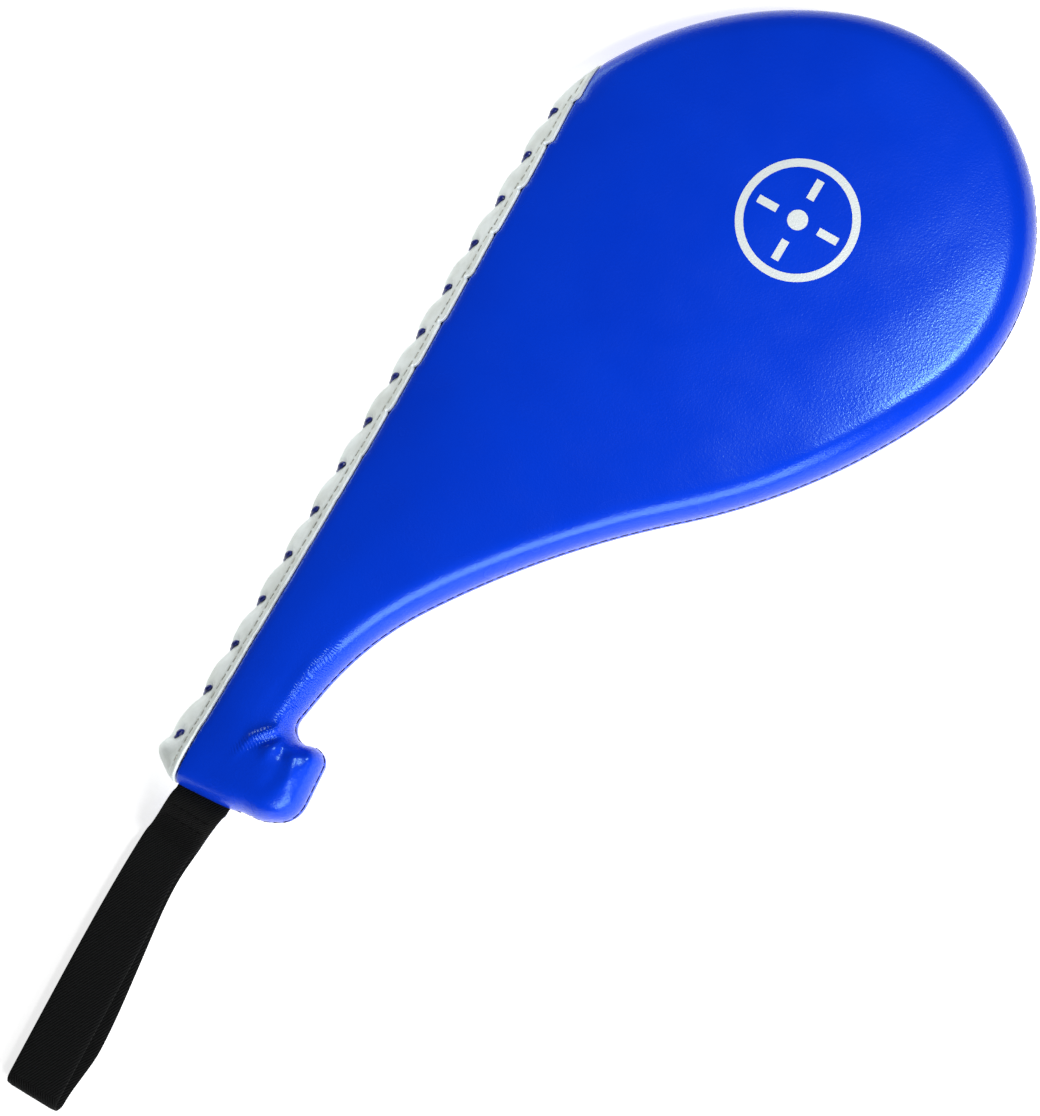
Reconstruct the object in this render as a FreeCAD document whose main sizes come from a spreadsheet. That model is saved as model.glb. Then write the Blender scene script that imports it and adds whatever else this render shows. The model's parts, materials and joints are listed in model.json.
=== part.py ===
import FreeCAD, Part
import math
import os
from FreeCAD import Vector

# Kick paddle: a padded striking blade with a flared handle, a cover closed by
# a lace along one straight edge, and a webbing wrist loop at the pommel.
# Millimetres. +Z up: the paddle lies on its back face, +X runs from the
# handle to the head, and +Y is the laced side.

doc = FreeCAD.newDocument("kick_paddle")

SIZES = {
    "paddle_thick": 36.0,
    "cover_thick": 1.5,
    "edge_round": 5.5,
    "cover_gap": 0.2,
    "strip_width": 10.3,
    "plate_thick": 2.8,
    "core_thick": 8.0,
    "rivet_shank": 5.0,
    "rivet_head": 11.0,
    "head_thick": 1.2,
    "lace_radius": 1.1,
    "lace_bend": 2.0,
    "lace_hole": 1.5,
    "lace_pitch": 20.0,
    "lace_slant": 8.0,
    "lace_level": 9.0,
    "web_thick": 1.4,
    "web_width": 21.5,
    "groove_deep": 0.45,
    "emblem_radius": 24.0,
    "emblem_thick": 0.3,
}

sheet = doc.addObject("Spreadsheet::Sheet", "sizes")
for row, (name, value) in enumerate(SIZES.items(), start=1):
    sheet.set("A%d" % row, name)
    sheet.set("B%d" % row, str(value))
    sheet.setAlias("B%d" % row, name)
doc.recompute()

THICK = SIZES["paddle_thick"]
MIDDLE = THICK / 2
COVER = SIZES["cover_thick"]
ROUND = SIZES["edge_round"]
GAP = SIZES["cover_gap"]

# The middle of the whole part, measured from the middle of the blade.
FRAME_X = -171.8
FRAME_Y = 10.6

# Outline of the cover seen from above, counter-clockwise from the underside of
# the blade. "turn" is a tangent arc (radius, degrees, positive to the left) and
# "run" is a straight length. The two runs marked None close the loop.
OUTLINE_START = (-0.1, -84.3)
HEAD_CORNER = 58.9
POMMEL_CURVE = 132.4
OUTLINE_HEADING = -5.8
OUTLINE = [
    ("turn", 85.9, 134.3),
    ("turn", 138.2, 46.3),
    ("turn", HEAD_CORNER, 23.8),
    ("run", None, "laced_edge"),
    ("turn", POMMEL_CURVE, -12.0),
    ("turn", 7.8, 68.3),
    ("run", 6.4, "end_upper"),
    ("turn", 11.4, 38.0),
    ("run", None, "end_lower"),
    ("turn", 15.0, 90.6),
    ("run", 14.9, "flare_side"),
    ("turn", 6.0, 105.6),
    ("run", 1.0, "notch_side"),
    ("turn", 6.6, -120.2),
    ("run", 12.8, "neck_side"),
    ("turn", 125.7, -23.2),
    ("turn", 379.6, -15.7),
    ("turn", 258.9, 24.2),
]


def walk(lengths, inset=0.0):
    """Edges of the outline as (kind, start, middle, end, heading) in the blade's frame."""
    heading = math.radians(OUTLINE_HEADING)
    x = OUTLINE_START[0] - inset * math.sin(heading)
    y = OUTLINE_START[1] + inset * math.cos(heading)
    total = sum(step[2] for step in OUTLINE if step[0] == "turn")
    edges = []
    for index, step in enumerate(OUTLINE):
        start = (x, y)
        if step[0] == "run":
            length = lengths.get(step[2], step[1])
            x += length * math.cos(heading)
            y += length * math.sin(heading)
            middle = None
        else:
            sweep = math.radians(step[2])
            if index == len(OUTLINE) - 1:
                sweep += math.radians(360.0 - total)
            side = 1.0 if sweep > 0 else -1.0
            radius = step[1] - side * inset
            centre_x = x - side * radius * math.sin(heading)
            centre_y = y + side * radius * math.cos(heading)
            points = []
            for part in (0.5, 1.0):
                angle = heading + sweep * part
                points.append((centre_x + side * radius * math.sin(angle),
                               centre_y - side * radius * math.cos(angle)))
            middle, (x, y) = points
            heading += sweep
        edges.append((step[0], start, middle, (x, y), heading))
    return edges


def close_lengths():
    """The two free straight lengths that bring the outline back to its start."""
    names = ("laced_edge", "end_lower")
    base = walk({names[0]: 0.0, names[1]: 0.0})
    gap_x = base[0][1][0] - base[-1][3][0]
    gap_y = base[0][1][1] - base[-1][3][1]
    rays = []
    for step, edge in zip(OUTLINE, base):
        if step[0] == "run" and step[2] in names:
            rays.append((math.cos(edge[4]), math.sin(edge[4])))
    (a, c), (b, d) = rays
    scale = a * d - b * c
    return {names[0]: (gap_x * d - gap_y * b) / scale,
            names[1]: (gap_y * a - gap_x * c) / scale}


LENGTHS = close_lengths()


def place(x, y, z=0.0):
    """A point of the blade's frame in the frame of the whole part."""
    return Vector(x - FRAME_X, y - FRAME_Y, z)


def find_run(name):
    for step, edge in zip(OUTLINE, walk(LENGTHS)):
        if step[0] == "run" and step[2] == name:
            return edge
    raise ValueError(name)


def outline_edges(inset, z=0.0):
    """Line and arc edges of the outline moved inwards by inset."""
    curves = []
    for kind, start, middle, end, _heading in walk(LENGTHS, inset):
        if kind == "run":
            curves.append(Part.LineSegment(place(*start, z), place(*end, z)))
        else:
            curves.append(Part.Arc(place(*start, z), place(*middle, z), place(*end, z)))
    return curves


def rounded_polygon(corners):
    """Closed curves through (x, y, radius) corners of the blade's frame."""
    curves = []
    count = len(corners)
    ends = []
    for index in range(count):
        before = Vector(*corners[index - 1][:2])
        here = Vector(*corners[index][:2])
        after = Vector(*corners[(index + 1) % count][:2])
        radius = corners[index][2]
        into = (before - here).normalize()
        out = (after - here).normalize()
        half = into.getAngle(out) / 2
        reach = radius / math.tan(half)
        middle = (into + out).normalize()
        centre = here + middle * (radius / math.sin(half))
        ends.append((here + into * reach, centre - middle * radius, here + out * reach))
    for index in range(count):
        first, middle, last = ends[index]
        following = ends[(index + 1) % count][0]
        curves.append(Part.Arc(place(first.x, first.y), place(middle.x, middle.y),
                               place(last.x, last.y)))
        curves.append(Part.LineSegment(place(last.x, last.y), place(following.x, following.y)))
    return curves


def grown(corners, extra):
    """The same rounded outline with every side moved out, for the room a piece needs."""
    moved = []
    count = len(corners)
    turning = sum(corners[i - 1][0] * corners[i][1] - corners[i][0] * corners[i - 1][1]
                  for i in range(count))
    out_side = 1.0 if turning > 0 else -1.0
    for index, (x, y, radius) in enumerate(corners):
        before = Vector(*corners[index - 1][:2])
        here = Vector(x, y)
        after = Vector(*corners[(index + 1) % count][:2])
        first = (here - before).normalize()
        second = (after - here).normalize()
        normal_1 = Vector(first.y, -first.x) * out_side
        normal_2 = Vector(second.y, -second.x) * out_side
        corner = here + (normal_1 + normal_2) * (extra / (1 + normal_1.dot(normal_2)))
        outward = first.cross(second).z * out_side > 0
        moved.append((corner.x, corner.y, radius + (extra if outward else -extra)))
    return moved


# The laced edge: positions are (along, inside, height), along the edge towards
# the pommel and inside from the edge into the paddle.
LACED = find_run("laced_edge")
LACED_HEADING = LACED[4]
LACED_LENGTH = LENGTHS["laced_edge"]


def at_edge(along, inside, z=0.0):
    x = LACED[1][0] + along * math.cos(LACED_HEADING) - inside * math.sin(LACED_HEADING)
    y = LACED[1][1] + along * math.sin(LACED_HEADING) + inside * math.cos(LACED_HEADING)
    return place(x, y, z)


def edge_bow(along):
    """How far inside the straight line the outline lies."""
    if along < 0:
        return HEAD_CORNER - math.sqrt(HEAD_CORNER ** 2 - along ** 2)
    if along > LACED_LENGTH:
        past = along - LACED_LENGTH
        return math.sqrt(POMMEL_CURVE ** 2 - past ** 2) - POMMEL_CURVE
    return 0.0


def body_with_sketch(name, curves, level):
    """A body with one closed sketch on its XY plane at the given height."""
    body = doc.addObject("PartDesign::Body", name)
    sketch = body.newObject("Sketcher::SketchObject", name + "_outline")
    for feature in body.Origin.OriginFeatures:
        if feature.Role == "XY_Plane":
            sketch.AttachmentSupport = [(feature, "")]
    sketch.MapMode = "FlatFace"
    sketch.setExpression("AttachmentOffset.Base.z", level)
    sketch.addGeometry(curves, False)
    doc.recompute()
    return body, sketch


def pad(body, sketch, name, length):
    feature = body.newObject("PartDesign::Pad", name)
    feature.Profile = sketch
    feature.setExpression("Length", length)
    doc.recompute()
    return feature


def level_edges(shape, z):
    """Names of the edges that lie wholly at one height."""
    names = []
    for index, edge in enumerate(shape.Edges, start=1):
        box = edge.BoundBox
        if abs(box.ZMin - z) < 1e-4 and abs(box.ZMax - z) < 1e-4:
            names.append("Edge%d" % index)
    return names


def fillet(body, feature, name, z, radius):
    done = body.newObject("PartDesign::Fillet", name)
    done.Base = (feature, level_edges(feature.Shape, z))
    done.setExpression("Radius", radius)
    doc.recompute()
    return done


def prism(name, curves, low, high):
    """A plain prism between two heights, from closed curves."""
    base = doc.addObject("Part::Feature", name + "_profile")
    base.Shape = Part.Face(Part.Wire([curve.toShape() for curve in curves]))
    solid = doc.addObject("Part::Extrusion", name)
    solid.Base = base
    solid.DirMode = "Custom"
    solid.Dir = Vector(0, 0, 1)
    solid.setExpression("LengthFwd", "%s - (%s)" % (high, low))
    solid.Solid = True
    base.setExpression("Placement.Base.z", low)
    doc.recompute()
    return solid


def cylinder(name, radius, height, where, axis):
    """A plain cylinder that starts at where and runs along axis."""
    solid = doc.addObject("Part::Cylinder", name)
    solid.setExpression("Radius", radius)
    solid.setExpression("Height", height)
    solid.Placement = FreeCAD.Placement(where, FreeCAD.Rotation(Vector(0, 0, 1), axis))
    return solid


def cut(name, base, tools):
    """Base with every tool taken away."""
    if len(tools) > 1:
        tool = doc.addObject("Part::Compound", name + "_tools")
        tool.Links = tools
    else:
        tool = tools[0]
    solid = doc.addObject("Part::Cut", name)
    solid.Base = base
    solid.Tool = tool
    doc.recompute()
    return solid


def common(name, base, tool):
    solid = doc.addObject("Part::Common", name)
    solid.Base = base
    solid.Tool = tool
    doc.recompute()
    return solid


def mirror(name, base):
    """The same piece turned over about the paddle's middle plane."""
    solid = doc.addObject("Part::Mirroring", name)
    solid.Source = base
    solid.Normal = Vector(0, 0, 1)
    solid.Base = Vector(0, 0, MIDDLE)
    doc.recompute()
    return solid


MID = "sizes.paddle_thick / 2"

# --- cover -------------------------------------------------------------------
shell, shell_sketch = body_with_sketch("front_shell", outline_edges(0.0), MID)
shell_pad = pad(shell, shell_sketch, "front_shell_pad", MID)
shell_round = fillet(shell, shell_pad, "front_shell_round", THICK, "sizes.edge_round")

hollow, hollow_sketch = body_with_sketch("front_hollow", outline_edges(COVER), MID)
hollow_pad = pad(hollow, hollow_sketch, "front_hollow_pad", MID + " - sizes.cover_thick")
fillet(hollow, hollow_pad, "front_hollow_round", THICK - COVER,
       "sizes.edge_round - sizes.cover_thick")
front_cover = cut("front_cover", shell, [hollow])

ZONE_ENDS = (-70.0, LACED_LENGTH + 70.0)
ZONE_OUT = -20.0
PANEL_GAP = 0.1


def band_curves(near, far, ends=ZONE_ENDS):
    """A rectangle beside the laced edge, between two distances inside it."""
    corners = [at_edge(ends[0], near), at_edge(ends[1], near),
               at_edge(ends[1], far), at_edge(ends[0], far)]
    return [Part.LineSegment(corners[i], corners[(i + 1) % 4]) for i in range(4)]


STRIP = SIZES["strip_width"]
strip_zone = prism("strip_zone", band_curves(ZONE_OUT, STRIP), "-1", "sizes.paddle_thick + 1")
panel_zone = prism("panel_zone", band_curves(ZONE_OUT, STRIP + PANEL_GAP), "-1",
                   "sizes.paddle_thick + 1")

# strap exit: a slit in the seam at the pommel end
END = find_run("end_lower")
EXIT_ALONG = 9.5
EXIT = (END[1][0] + EXIT_ALONG * math.cos(END[4]), END[1][1] + EXIT_ALONG * math.sin(END[4]))
STRAP_HEADING = math.radians(199.0)
STRAP_DIR = (math.cos(STRAP_HEADING), math.sin(STRAP_HEADING))
SIDE_DIR = (STRAP_DIR[1], -STRAP_DIR[0])
PIVOT_OUT = 2.5
SLIT_IN, SLIT_OUT, SLIT_SPARE = -20.0, 8.0, 0.4


def at_strap(out, side, z):
    """A point in the strap's own directions: out from the pivot, sideways and up."""
    x = EXIT[0] + (out + PIVOT_OUT) * STRAP_DIR[0] + side * SIDE_DIR[0]
    y = EXIT[1] + (out + PIVOT_OUT) * STRAP_DIR[1] + side * SIDE_DIR[1]
    return place(x, y, z)


def strap_rectangle(near, far, half):
    corners = [at_strap(near, -half, 0), at_strap(far, -half, 0),
               at_strap(far, half, 0), at_strap(near, half, 0)]
    return [Part.LineSegment(corners[i], corners[(i + 1) % 4]) for i in range(4)]


HALF_WEB = SIZES["web_width"] / 2
slit = prism("strap_slit", strap_rectangle(SLIT_IN, SLIT_OUT, HALF_WEB + SLIT_SPARE),
             MID + " - sizes.web_thick - 0.15", MID + " + sizes.web_thick + 0.15")

# --- emblem: a plain ring with four ticks and a centre dot, pressed flush -----------
EMBLEM_AT = place(6.0, 4.5)
EMBLEM_R = SIZES["emblem_radius"]
EMBLEM_T = SIZES["emblem_thick"]
RING_WIDE = 3.2
TICK_IN = 9.0
TICK_LONG = 8.5
DOT_R = 4.0


def emblem_marks(margin, low, high):
    """The mark's solids between two heights, each wider by margin all round."""
    deep = high - low
    base = EMBLEM_AT + Vector(0, 0, low)
    outer = Part.makeCylinder(EMBLEM_R + margin, deep, base)
    inner = Part.makeCylinder(EMBLEM_R - RING_WIDE - margin, deep, base)
    marks = [outer.cut(inner), Part.makeCylinder(DOT_R + margin, deep, base)]
    for quarter in range(4):
        tick = Part.makeBox(TICK_LONG + 2 * margin, RING_WIDE + 2 * margin, deep,
                            Vector(TICK_IN - margin, -RING_WIDE / 2 - margin, 0))
        tick.rotate(Vector(0, 0, 0), Vector(0, 0, 1),
                    90 * quarter + math.degrees(LACED_HEADING))
        tick.translate(base)
        marks.append(tick)
    return Part.makeCompound(marks)


emblem = doc.addObject("Part::Feature", "emblem")
emblem.Shape = emblem_marks(0.0, THICK - EMBLEM_T, THICK)
emblem_room = doc.addObject("Part::Feature", "emblem_room")
emblem_room.Shape = emblem_marks(0.05, THICK - EMBLEM_T - 0.05, THICK + 1.0)

back_cover = mirror("back_cover", front_cover)
cut("front_panel", front_cover, [panel_zone, slit, emblem_room])
cut("back_panel", back_cover, [panel_zone, slit])

# --- lacing strips with their holes --------------------------------------------
LACE_FIRST = -9.0
LACE_COUNT = 15
PITCH = SIZES["lace_pitch"]
SLANT = SIZES["lace_slant"]
LEVEL = SIZES["lace_level"]
FRONT_STOPS = [LACE_FIRST + PITCH * k for k in range(LACE_COUNT)]
BACK_STOPS = [stop + SLANT for stop in FRONT_STOPS]
INWARD = (at_edge(0, 1) - at_edge(0, 0)).normalize()


def hole_tools(name, stops, z):
    tools = []
    for index, stop in enumerate(stops):
        start = at_edge(stop, edge_bow(stop) - 3.0, z)
        tools.append(cylinder("%s_%d" % (name, index), "sizes.lace_hole", "6", start, INWARD))
    return tools


STITCH_LONG = 3.4
STITCH_WIDE = 0.7
STITCH_HIGH = 0.35
STRIP_STITCH = STRIP - 2.2
GROOVE_DEEP = SIZES["groove_deep"]
GROOVE_HALF = 0.5
STRIP_PITCH = 6.0
STRIP_FIRST = 4.0
STRIP_COUNT = int((LACED_LENGTH + 12.0) / STRIP_PITCH)
STRIP_STOPS = [STRIP_FIRST + STRIP_PITCH * k for k in range(STRIP_COUNT)]
GROOVE_ENDS = (STRIP_STOPS[0] - STRIP_PITCH / 2, STRIP_STOPS[-1] + STRIP_PITCH / 2)


def make_strip(name, cover, stops, z, groove_low, groove_high):
    """Half the laced edge, with its lace holes and a stitch groove along its inner side."""
    blank = common(name + "_blank", cover, strip_zone)
    curves = band_curves(STRIP_STITCH - GROOVE_HALF, STRIP_STITCH + GROOVE_HALF, GROOVE_ENDS)
    groove = prism(name + "_groove", curves, groove_low, groove_high)
    return cut(name, blank, hole_tools(name + "_hole", stops, z) + [groove])


make_strip("front_lacing_strip", front_cover, FRONT_STOPS, MIDDLE + LEVEL,
           "sizes.paddle_thick - sizes.groove_deep", "sizes.paddle_thick + 1")
make_strip("back_lacing_strip", back_cover, BACK_STOPS, MIDDLE - LEVEL,
           "-1", "sizes.groove_deep")

# --- lace: straight runs joined by tangent arcs ---------------------------------
LACE_IN = 7.0
LACE_OUT = SIZES["lace_radius"] + 0.25


def lace_corners():
    points = [at_edge(FRONT_STOPS[0], LACE_IN, MIDDLE)]
    for front, back in zip(FRONT_STOPS, BACK_STOPS):
        points.append(at_edge(front, LACE_IN, MIDDLE + LEVEL))
        points.append(at_edge(front, edge_bow(front) - LACE_OUT, MIDDLE + LEVEL))
        points.append(at_edge(back, edge_bow(back) - LACE_OUT, MIDDLE - LEVEL))
        points.append(at_edge(back, LACE_IN, MIDDLE - LEVEL))
    points.append(at_edge(BACK_STOPS[-1], LACE_IN, MIDDLE))
    return points


def filleted_path(points, radius):
    """Straight runs between points with a tangent arc at every inner corner."""
    edges = []
    last = points[0]
    for index in range(1, len(points) - 1):
        here = points[index]
        into = (points[index - 1] - here).normalize()
        out = (points[index + 1] - here).normalize()
        half = into.getAngle(out) / 2
        reach = radius / math.tan(half)
        middle = (into + out).normalize()
        centre = here + middle * (radius / math.sin(half))
        first = here + into * reach
        second = here + out * reach
        edges.append(Part.LineSegment(last, first).toShape())
        edges.append(Part.Arc(first, centre - middle * radius, second).toShape())
        last = second
    edges.append(Part.LineSegment(last, points[-1]).toShape())
    return Part.Wire(edges)


lace_points = lace_corners()
lace_path = filleted_path(lace_points, SIZES["lace_bend"])
section = Part.Wire(Part.Circle(lace_points[0], Vector(0, 0, 1), SIZES["lace_radius"]).toShape())
lace = doc.addObject("Part::Feature", "lace")
lace.Shape = lace_path.makePipeShell([section], True, False)

KNOT = 2.6
knot_shapes = []
for point, side in ((lace_points[0], -1.0), (lace_points[-1], 1.0)):
    ball = Part.makeSphere(KNOT, point + Vector(0, 0, side * (KNOT - 0.3)))
    socket = Part.makeCylinder(SIZES["lace_radius"] + 0.1, 4.0,
                               point + Vector(0, 0, 0.05 * side), Vector(0, 0, -side))
    knot_shapes.append(ball.cut(socket))
knots = doc.addObject("Part::Feature", "lace_end_knots")
knots.Shape = Part.makeCompound(knot_shapes)

# --- stitching -------------------------------------------------------------------
STITCH_CLEAR = 0.02


def stitch(where, heading, standing=False):
    """One short flat stitch lying on a face, or standing against an edge."""
    if standing:
        block = Part.makeBox(STITCH_LONG, STITCH_HIGH, STITCH_WIDE,
                             Vector(-STITCH_LONG / 2, -STITCH_HIGH - STITCH_CLEAR,
                                    -STITCH_WIDE / 2))
    else:
        block = Part.makeBox(STITCH_LONG, STITCH_WIDE, STITCH_HIGH,
                             Vector(-STITCH_LONG / 2, -STITCH_WIDE / 2, STITCH_CLEAR))
    block.rotate(Vector(0, 0, 0), Vector(0, 0, 1), math.degrees(heading))
    block.translate(where)
    return block


def stitching(name, shapes):
    feature = doc.addObject("Part::Feature", name)
    feature.Shape = Part.makeCompound(shapes)
    return feature


upper = []
lower = []
for stop in STRIP_STOPS:
    where = at_edge(stop, STRIP_STITCH, THICK - GROOVE_DEEP)
    upper.append(stitch(where, LACED_HEADING))
    where = at_edge(stop, STRIP_STITCH, GROOVE_DEEP - STITCH_HIGH - 2 * STITCH_CLEAR)
    lower.append(stitch(where, LACED_HEADING))
stitching("front_strip_stitching", upper)
stitching("back_strip_stitching", lower)

SEAM_FIRST = 4.0
SEAM_PITCH = 7.0
TIGHT_TURN = 20.0
UNSEWN = ("laced_edge", "end_upper", "end_lower", "notch_side")
LACED_END = [step[2] for step in OUTLINE].index("end_lower")


def seam_curve(edge):
    """One edge of the outline as a curve in the frame of the whole part."""
    kind, start, middle, end, _heading = edge
    if kind == "run":
        return Part.LineSegment(place(*start), place(*end)).toShape()
    return Part.Arc(place(*start), place(*middle), place(*end)).toShape()


def seam_stitches(curve):
    """Stitches standing in the middle seam, along one curve of the outline."""
    shapes = []
    for k in range(int((curve.Length - SEAM_FIRST) / SEAM_PITCH)):
        at = curve.getParameterByLength(SEAM_FIRST + SEAM_PITCH * k)
        tangent = curve.tangentAt(at)
        where = curve.valueAt(at)
        where.z = MIDDLE
        shapes.append(stitch(where, math.atan2(tangent.y, tangent.x), True))
    return shapes


edge_stitches = []
for index, (step, edge) in enumerate(zip(OUTLINE, walk(LENGTHS))):
    is_tight = step[0] == "turn" and step[1] < TIGHT_TURN
    is_sewn = index == 0 or index > LACED_END
    if is_sewn and not is_tight and step[2] not in UNSEWN:
        edge_stitches += seam_stitches(seam_curve(edge))
stitching("edge_seam_stitching", edge_stitches)

# --- inner pieces ------------------------------------------------------------------
PLATE_CORNERS = [(-284.0, -12.0, 5.0), (-232.0, -1.0, 30.0), (-120.0, -18.0, 60.0),
                 (20.0, -52.0, 40.0), (62.0, 4.0, 40.0), (20.0, 62.0, 40.0),
                 (-120.0, 40.0, 80.0), (-232.0, 22.0, 40.0), (-288.0, 4.0, 5.0)]
plate_blank = prism("spine_plate_blank", rounded_polygon(PLATE_CORNERS),
                    MID + " - sizes.plate_thick / 2", MID + " + sizes.plate_thick / 2")

CORE_CORNERS = [(-303.0, 2.0, 4.0), (-293.5, -26.5, 6.0), (-279.5, -23.0, 4.0),
                (-274.0, -3.0, 8.0), (-226.0, 0.0, 20.0), (-206.0, -3.0, 3.0),
                (-206.0, 35.0, 3.0)]
lace_room = prism("lace_room", band_curves(-20.0, LACE_IN + 3.6), MID + " - 11.5", MID + " + 11.5")
core_part = prism("core_part", rounded_polygon(CORE_CORNERS),
                  MID + " + sizes.plate_thick / 2 + 0.1",
                  MID + " + sizes.plate_thick / 2 + 0.1 + sizes.core_thick")

HANDLE_RIVETS = [place(-268.0, 0.0), place(-246.0, 8.0), place(-222.0, 13.0)]
STRAP_RIVET = at_strap(-18.0, 0.0, 0.0)
TAIL_LONG = 26.0


def rivet_holes(name, points, extra):
    tools = []
    for index, point in enumerate(points):
        tools.append(cylinder("%s_%d" % (name, index), "sizes.rivet_shank / 2 + %s" % extra,
                              "sizes.paddle_thick", point, Vector(0, 0, 1)))
    return tools


holes = rivet_holes("rivet_hole", HANDLE_RIVETS + [STRAP_RIVET], "0.1")
core_front = cut("handle_core_front", core_part, [lace_room] + holes)
core_back_blank = mirror("core_back_blank", core_part)
core_back = cut("handle_core_back", core_back_blank, [lace_room] + holes)

tail_room = prism("tail_room", strap_rectangle(-TAIL_LONG - 1.0, 5.0, HALF_WEB + 0.5),
                  "0", "sizes.paddle_thick")
cut("spine_plate", plate_blank, [tail_room, lace_room] + holes)

HEAD_LEVEL = MIDDLE + SIZES["plate_thick"] / 2 + 0.1 + SIZES["core_thick"]


def rivet_shape(point):
    """A shank through both cores with a flat head on each side."""
    low_level = THICK - HEAD_LEVEL
    shank = Part.makeCylinder(SIZES["rivet_shank"] / 2, HEAD_LEVEL - low_level + 0.2,
                              Vector(point.x, point.y, low_level - 0.1))
    for level in (HEAD_LEVEL + 0.05, low_level - 0.05 - SIZES["head_thick"]):
        top = Part.makeCylinder(SIZES["rivet_head"] / 2, SIZES["head_thick"],
                                Vector(point.x, point.y, level))
        shank = shank.fuse(top)
    return shank


stitching("handle_rivets", [rivet_shape(point) for point in HANDLE_RIVETS])
strap_rivet = doc.addObject("Part::Feature", "strap_rivet")
strap_rivet.Shape = rivet_shape(STRAP_RIVET)

head_rooms = []
for index, point in enumerate(HANDLE_RIVETS + [STRAP_RIVET]):
    head_rooms.append(cylinder("head_room_%d" % index, "sizes.rivet_head / 2 + 0.3",
                               "sizes.paddle_thick - 12", Vector(point.x, point.y, 6.0),
                               Vector(0, 0, 1)))
core_room = prism("core_room", rounded_polygon(grown(CORE_CORNERS, 0.4)),
                  MID + " - sizes.core_thick - 2", MID + " + sizes.core_thick + 2")

pads_low = MID + " + sizes.plate_thick / 2 + 0.1"
pad_body, pad_sketch = body_with_sketch("front_foam_blank", outline_edges(COVER + GAP), pads_low)
pad_pad = pad(pad_body, pad_sketch, "front_foam_pad_length",
              "sizes.paddle_thick - sizes.cover_thick - sizes.cover_gap - (%s)" % pads_low)
fillet(pad_body, pad_pad, "front_foam_round", THICK - COVER - GAP,
       "sizes.edge_round - sizes.cover_thick - sizes.cover_gap")
back_foam_blank = mirror("back_foam_blank", pad_body)
foam_rooms = [lace_room, core_room] + head_rooms
cut("front_foam_pad", pad_body, foam_rooms)
cut("back_foam_pad", back_foam_blank, foam_rooms)

# --- wrist strap: tail, sewn root and a flat loop of hinged webbing lengths --------
WEB = SIZES["web_thick"]
tail_blank = prism("strap_tail_blank", strap_rectangle(-TAIL_LONG, -1.2, HALF_WEB),
                   MID + " - sizes.web_thick", MID + " + sizes.web_thick")
cut("strap_tail", tail_blank, [cylinder("tail_hole", "sizes.rivet_shank / 2 + 0.1",
                                        "sizes.paddle_thick", STRAP_RIVET, Vector(0, 0, 1))])

LOOP_NEAR = 23.0
SEGMENT = 35.0
LOWER = WEB / 2
UPPER = 7.3
LOOP_MIDDLE = (LOWER + UPPER) / 2
HINGE_GAP = 1.2
FOLD_GAP = 1.5
SPLIT = 16.0


def side_profile(name, points):
    """Webbing of full width from a closed outline of (out, height) points."""
    corners = [at_strap(out, -HALF_WEB, z) for out, z in points]
    wire = Part.makePolygon(corners + [corners[0]])
    base = doc.addObject("Part::Feature", name + "_profile")
    base.Shape = Part.Face(wire)
    solid = doc.addObject("Part::Extrusion", name)
    solid.Base = base
    solid.DirMode = "Custom"
    solid.Dir = Vector(SIDE_DIR[0], SIDE_DIR[1], 0)
    solid.setExpression("LengthFwd", "sizes.web_width")
    solid.Solid = True
    doc.recompute()
    return solid


SLOPE = math.atan2(LOOP_MIDDLE - MIDDLE, SPLIT)
ALONG = (math.cos(SLOPE), math.sin(SLOPE))
ACROSS = (-ALONG[1], ALONG[0])
ROOT_START = 1.8
START_HIGH = (ROOT_START * ALONG[0] + WEB * ACROSS[0],
              MIDDLE + ROOT_START * ALONG[1] + WEB * ACROSS[1])
START_LOW = (ROOT_START * ALONG[0] - WEB * ACROSS[0],
             MIDDLE + ROOT_START * ALONG[1] - WEB * ACROSS[1])
ARM_END = LOOP_NEAR - HINGE_GAP
side_profile("strap_root", [
    START_LOW,
    (SPLIT - 3.0, LOWER + 2.0),
    (SPLIT, LOWER - WEB / 2),
    (ARM_END, LOWER - WEB / 2),
    (ARM_END, LOWER + WEB / 2),
    (SPLIT + 3.0, LOWER + WEB / 2),
    (SPLIT + 0.5, LOOP_MIDDLE),
    (SPLIT + 3.0, UPPER - WEB / 2),
    (ARM_END, UPPER - WEB / 2),
    (ARM_END, UPPER + WEB / 2),
    (SPLIT - 1.0, UPPER + WEB / 2),
    START_HIGH,
])

for level, label in ((LOWER, "lower"), (UPPER, "upper")):
    for step, part_name in enumerate(("near", "middle", "far")):
        begin = LOOP_NEAR + SEGMENT * step + HINGE_GAP
        finish = LOOP_NEAR + SEGMENT * (step + 1) - (FOLD_GAP if step == 2 else HINGE_GAP)
        side_profile("strap_%s_%s" % (label, part_name),
                     [(begin, level - WEB / 2), (finish, level - WEB / 2),
                      (finish, level + WEB / 2), (begin, level + WEB / 2)])
FOLD = LOOP_NEAR + SEGMENT * 3
side_profile("strap_fold", [(FOLD - WEB / 2, LOWER + FOLD_GAP), (FOLD + WEB / 2, LOWER + FOLD_GAP),
                            (FOLD + WEB / 2, UPPER - FOLD_GAP), (FOLD - WEB / 2, UPPER - FOLD_GAP)])

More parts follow.
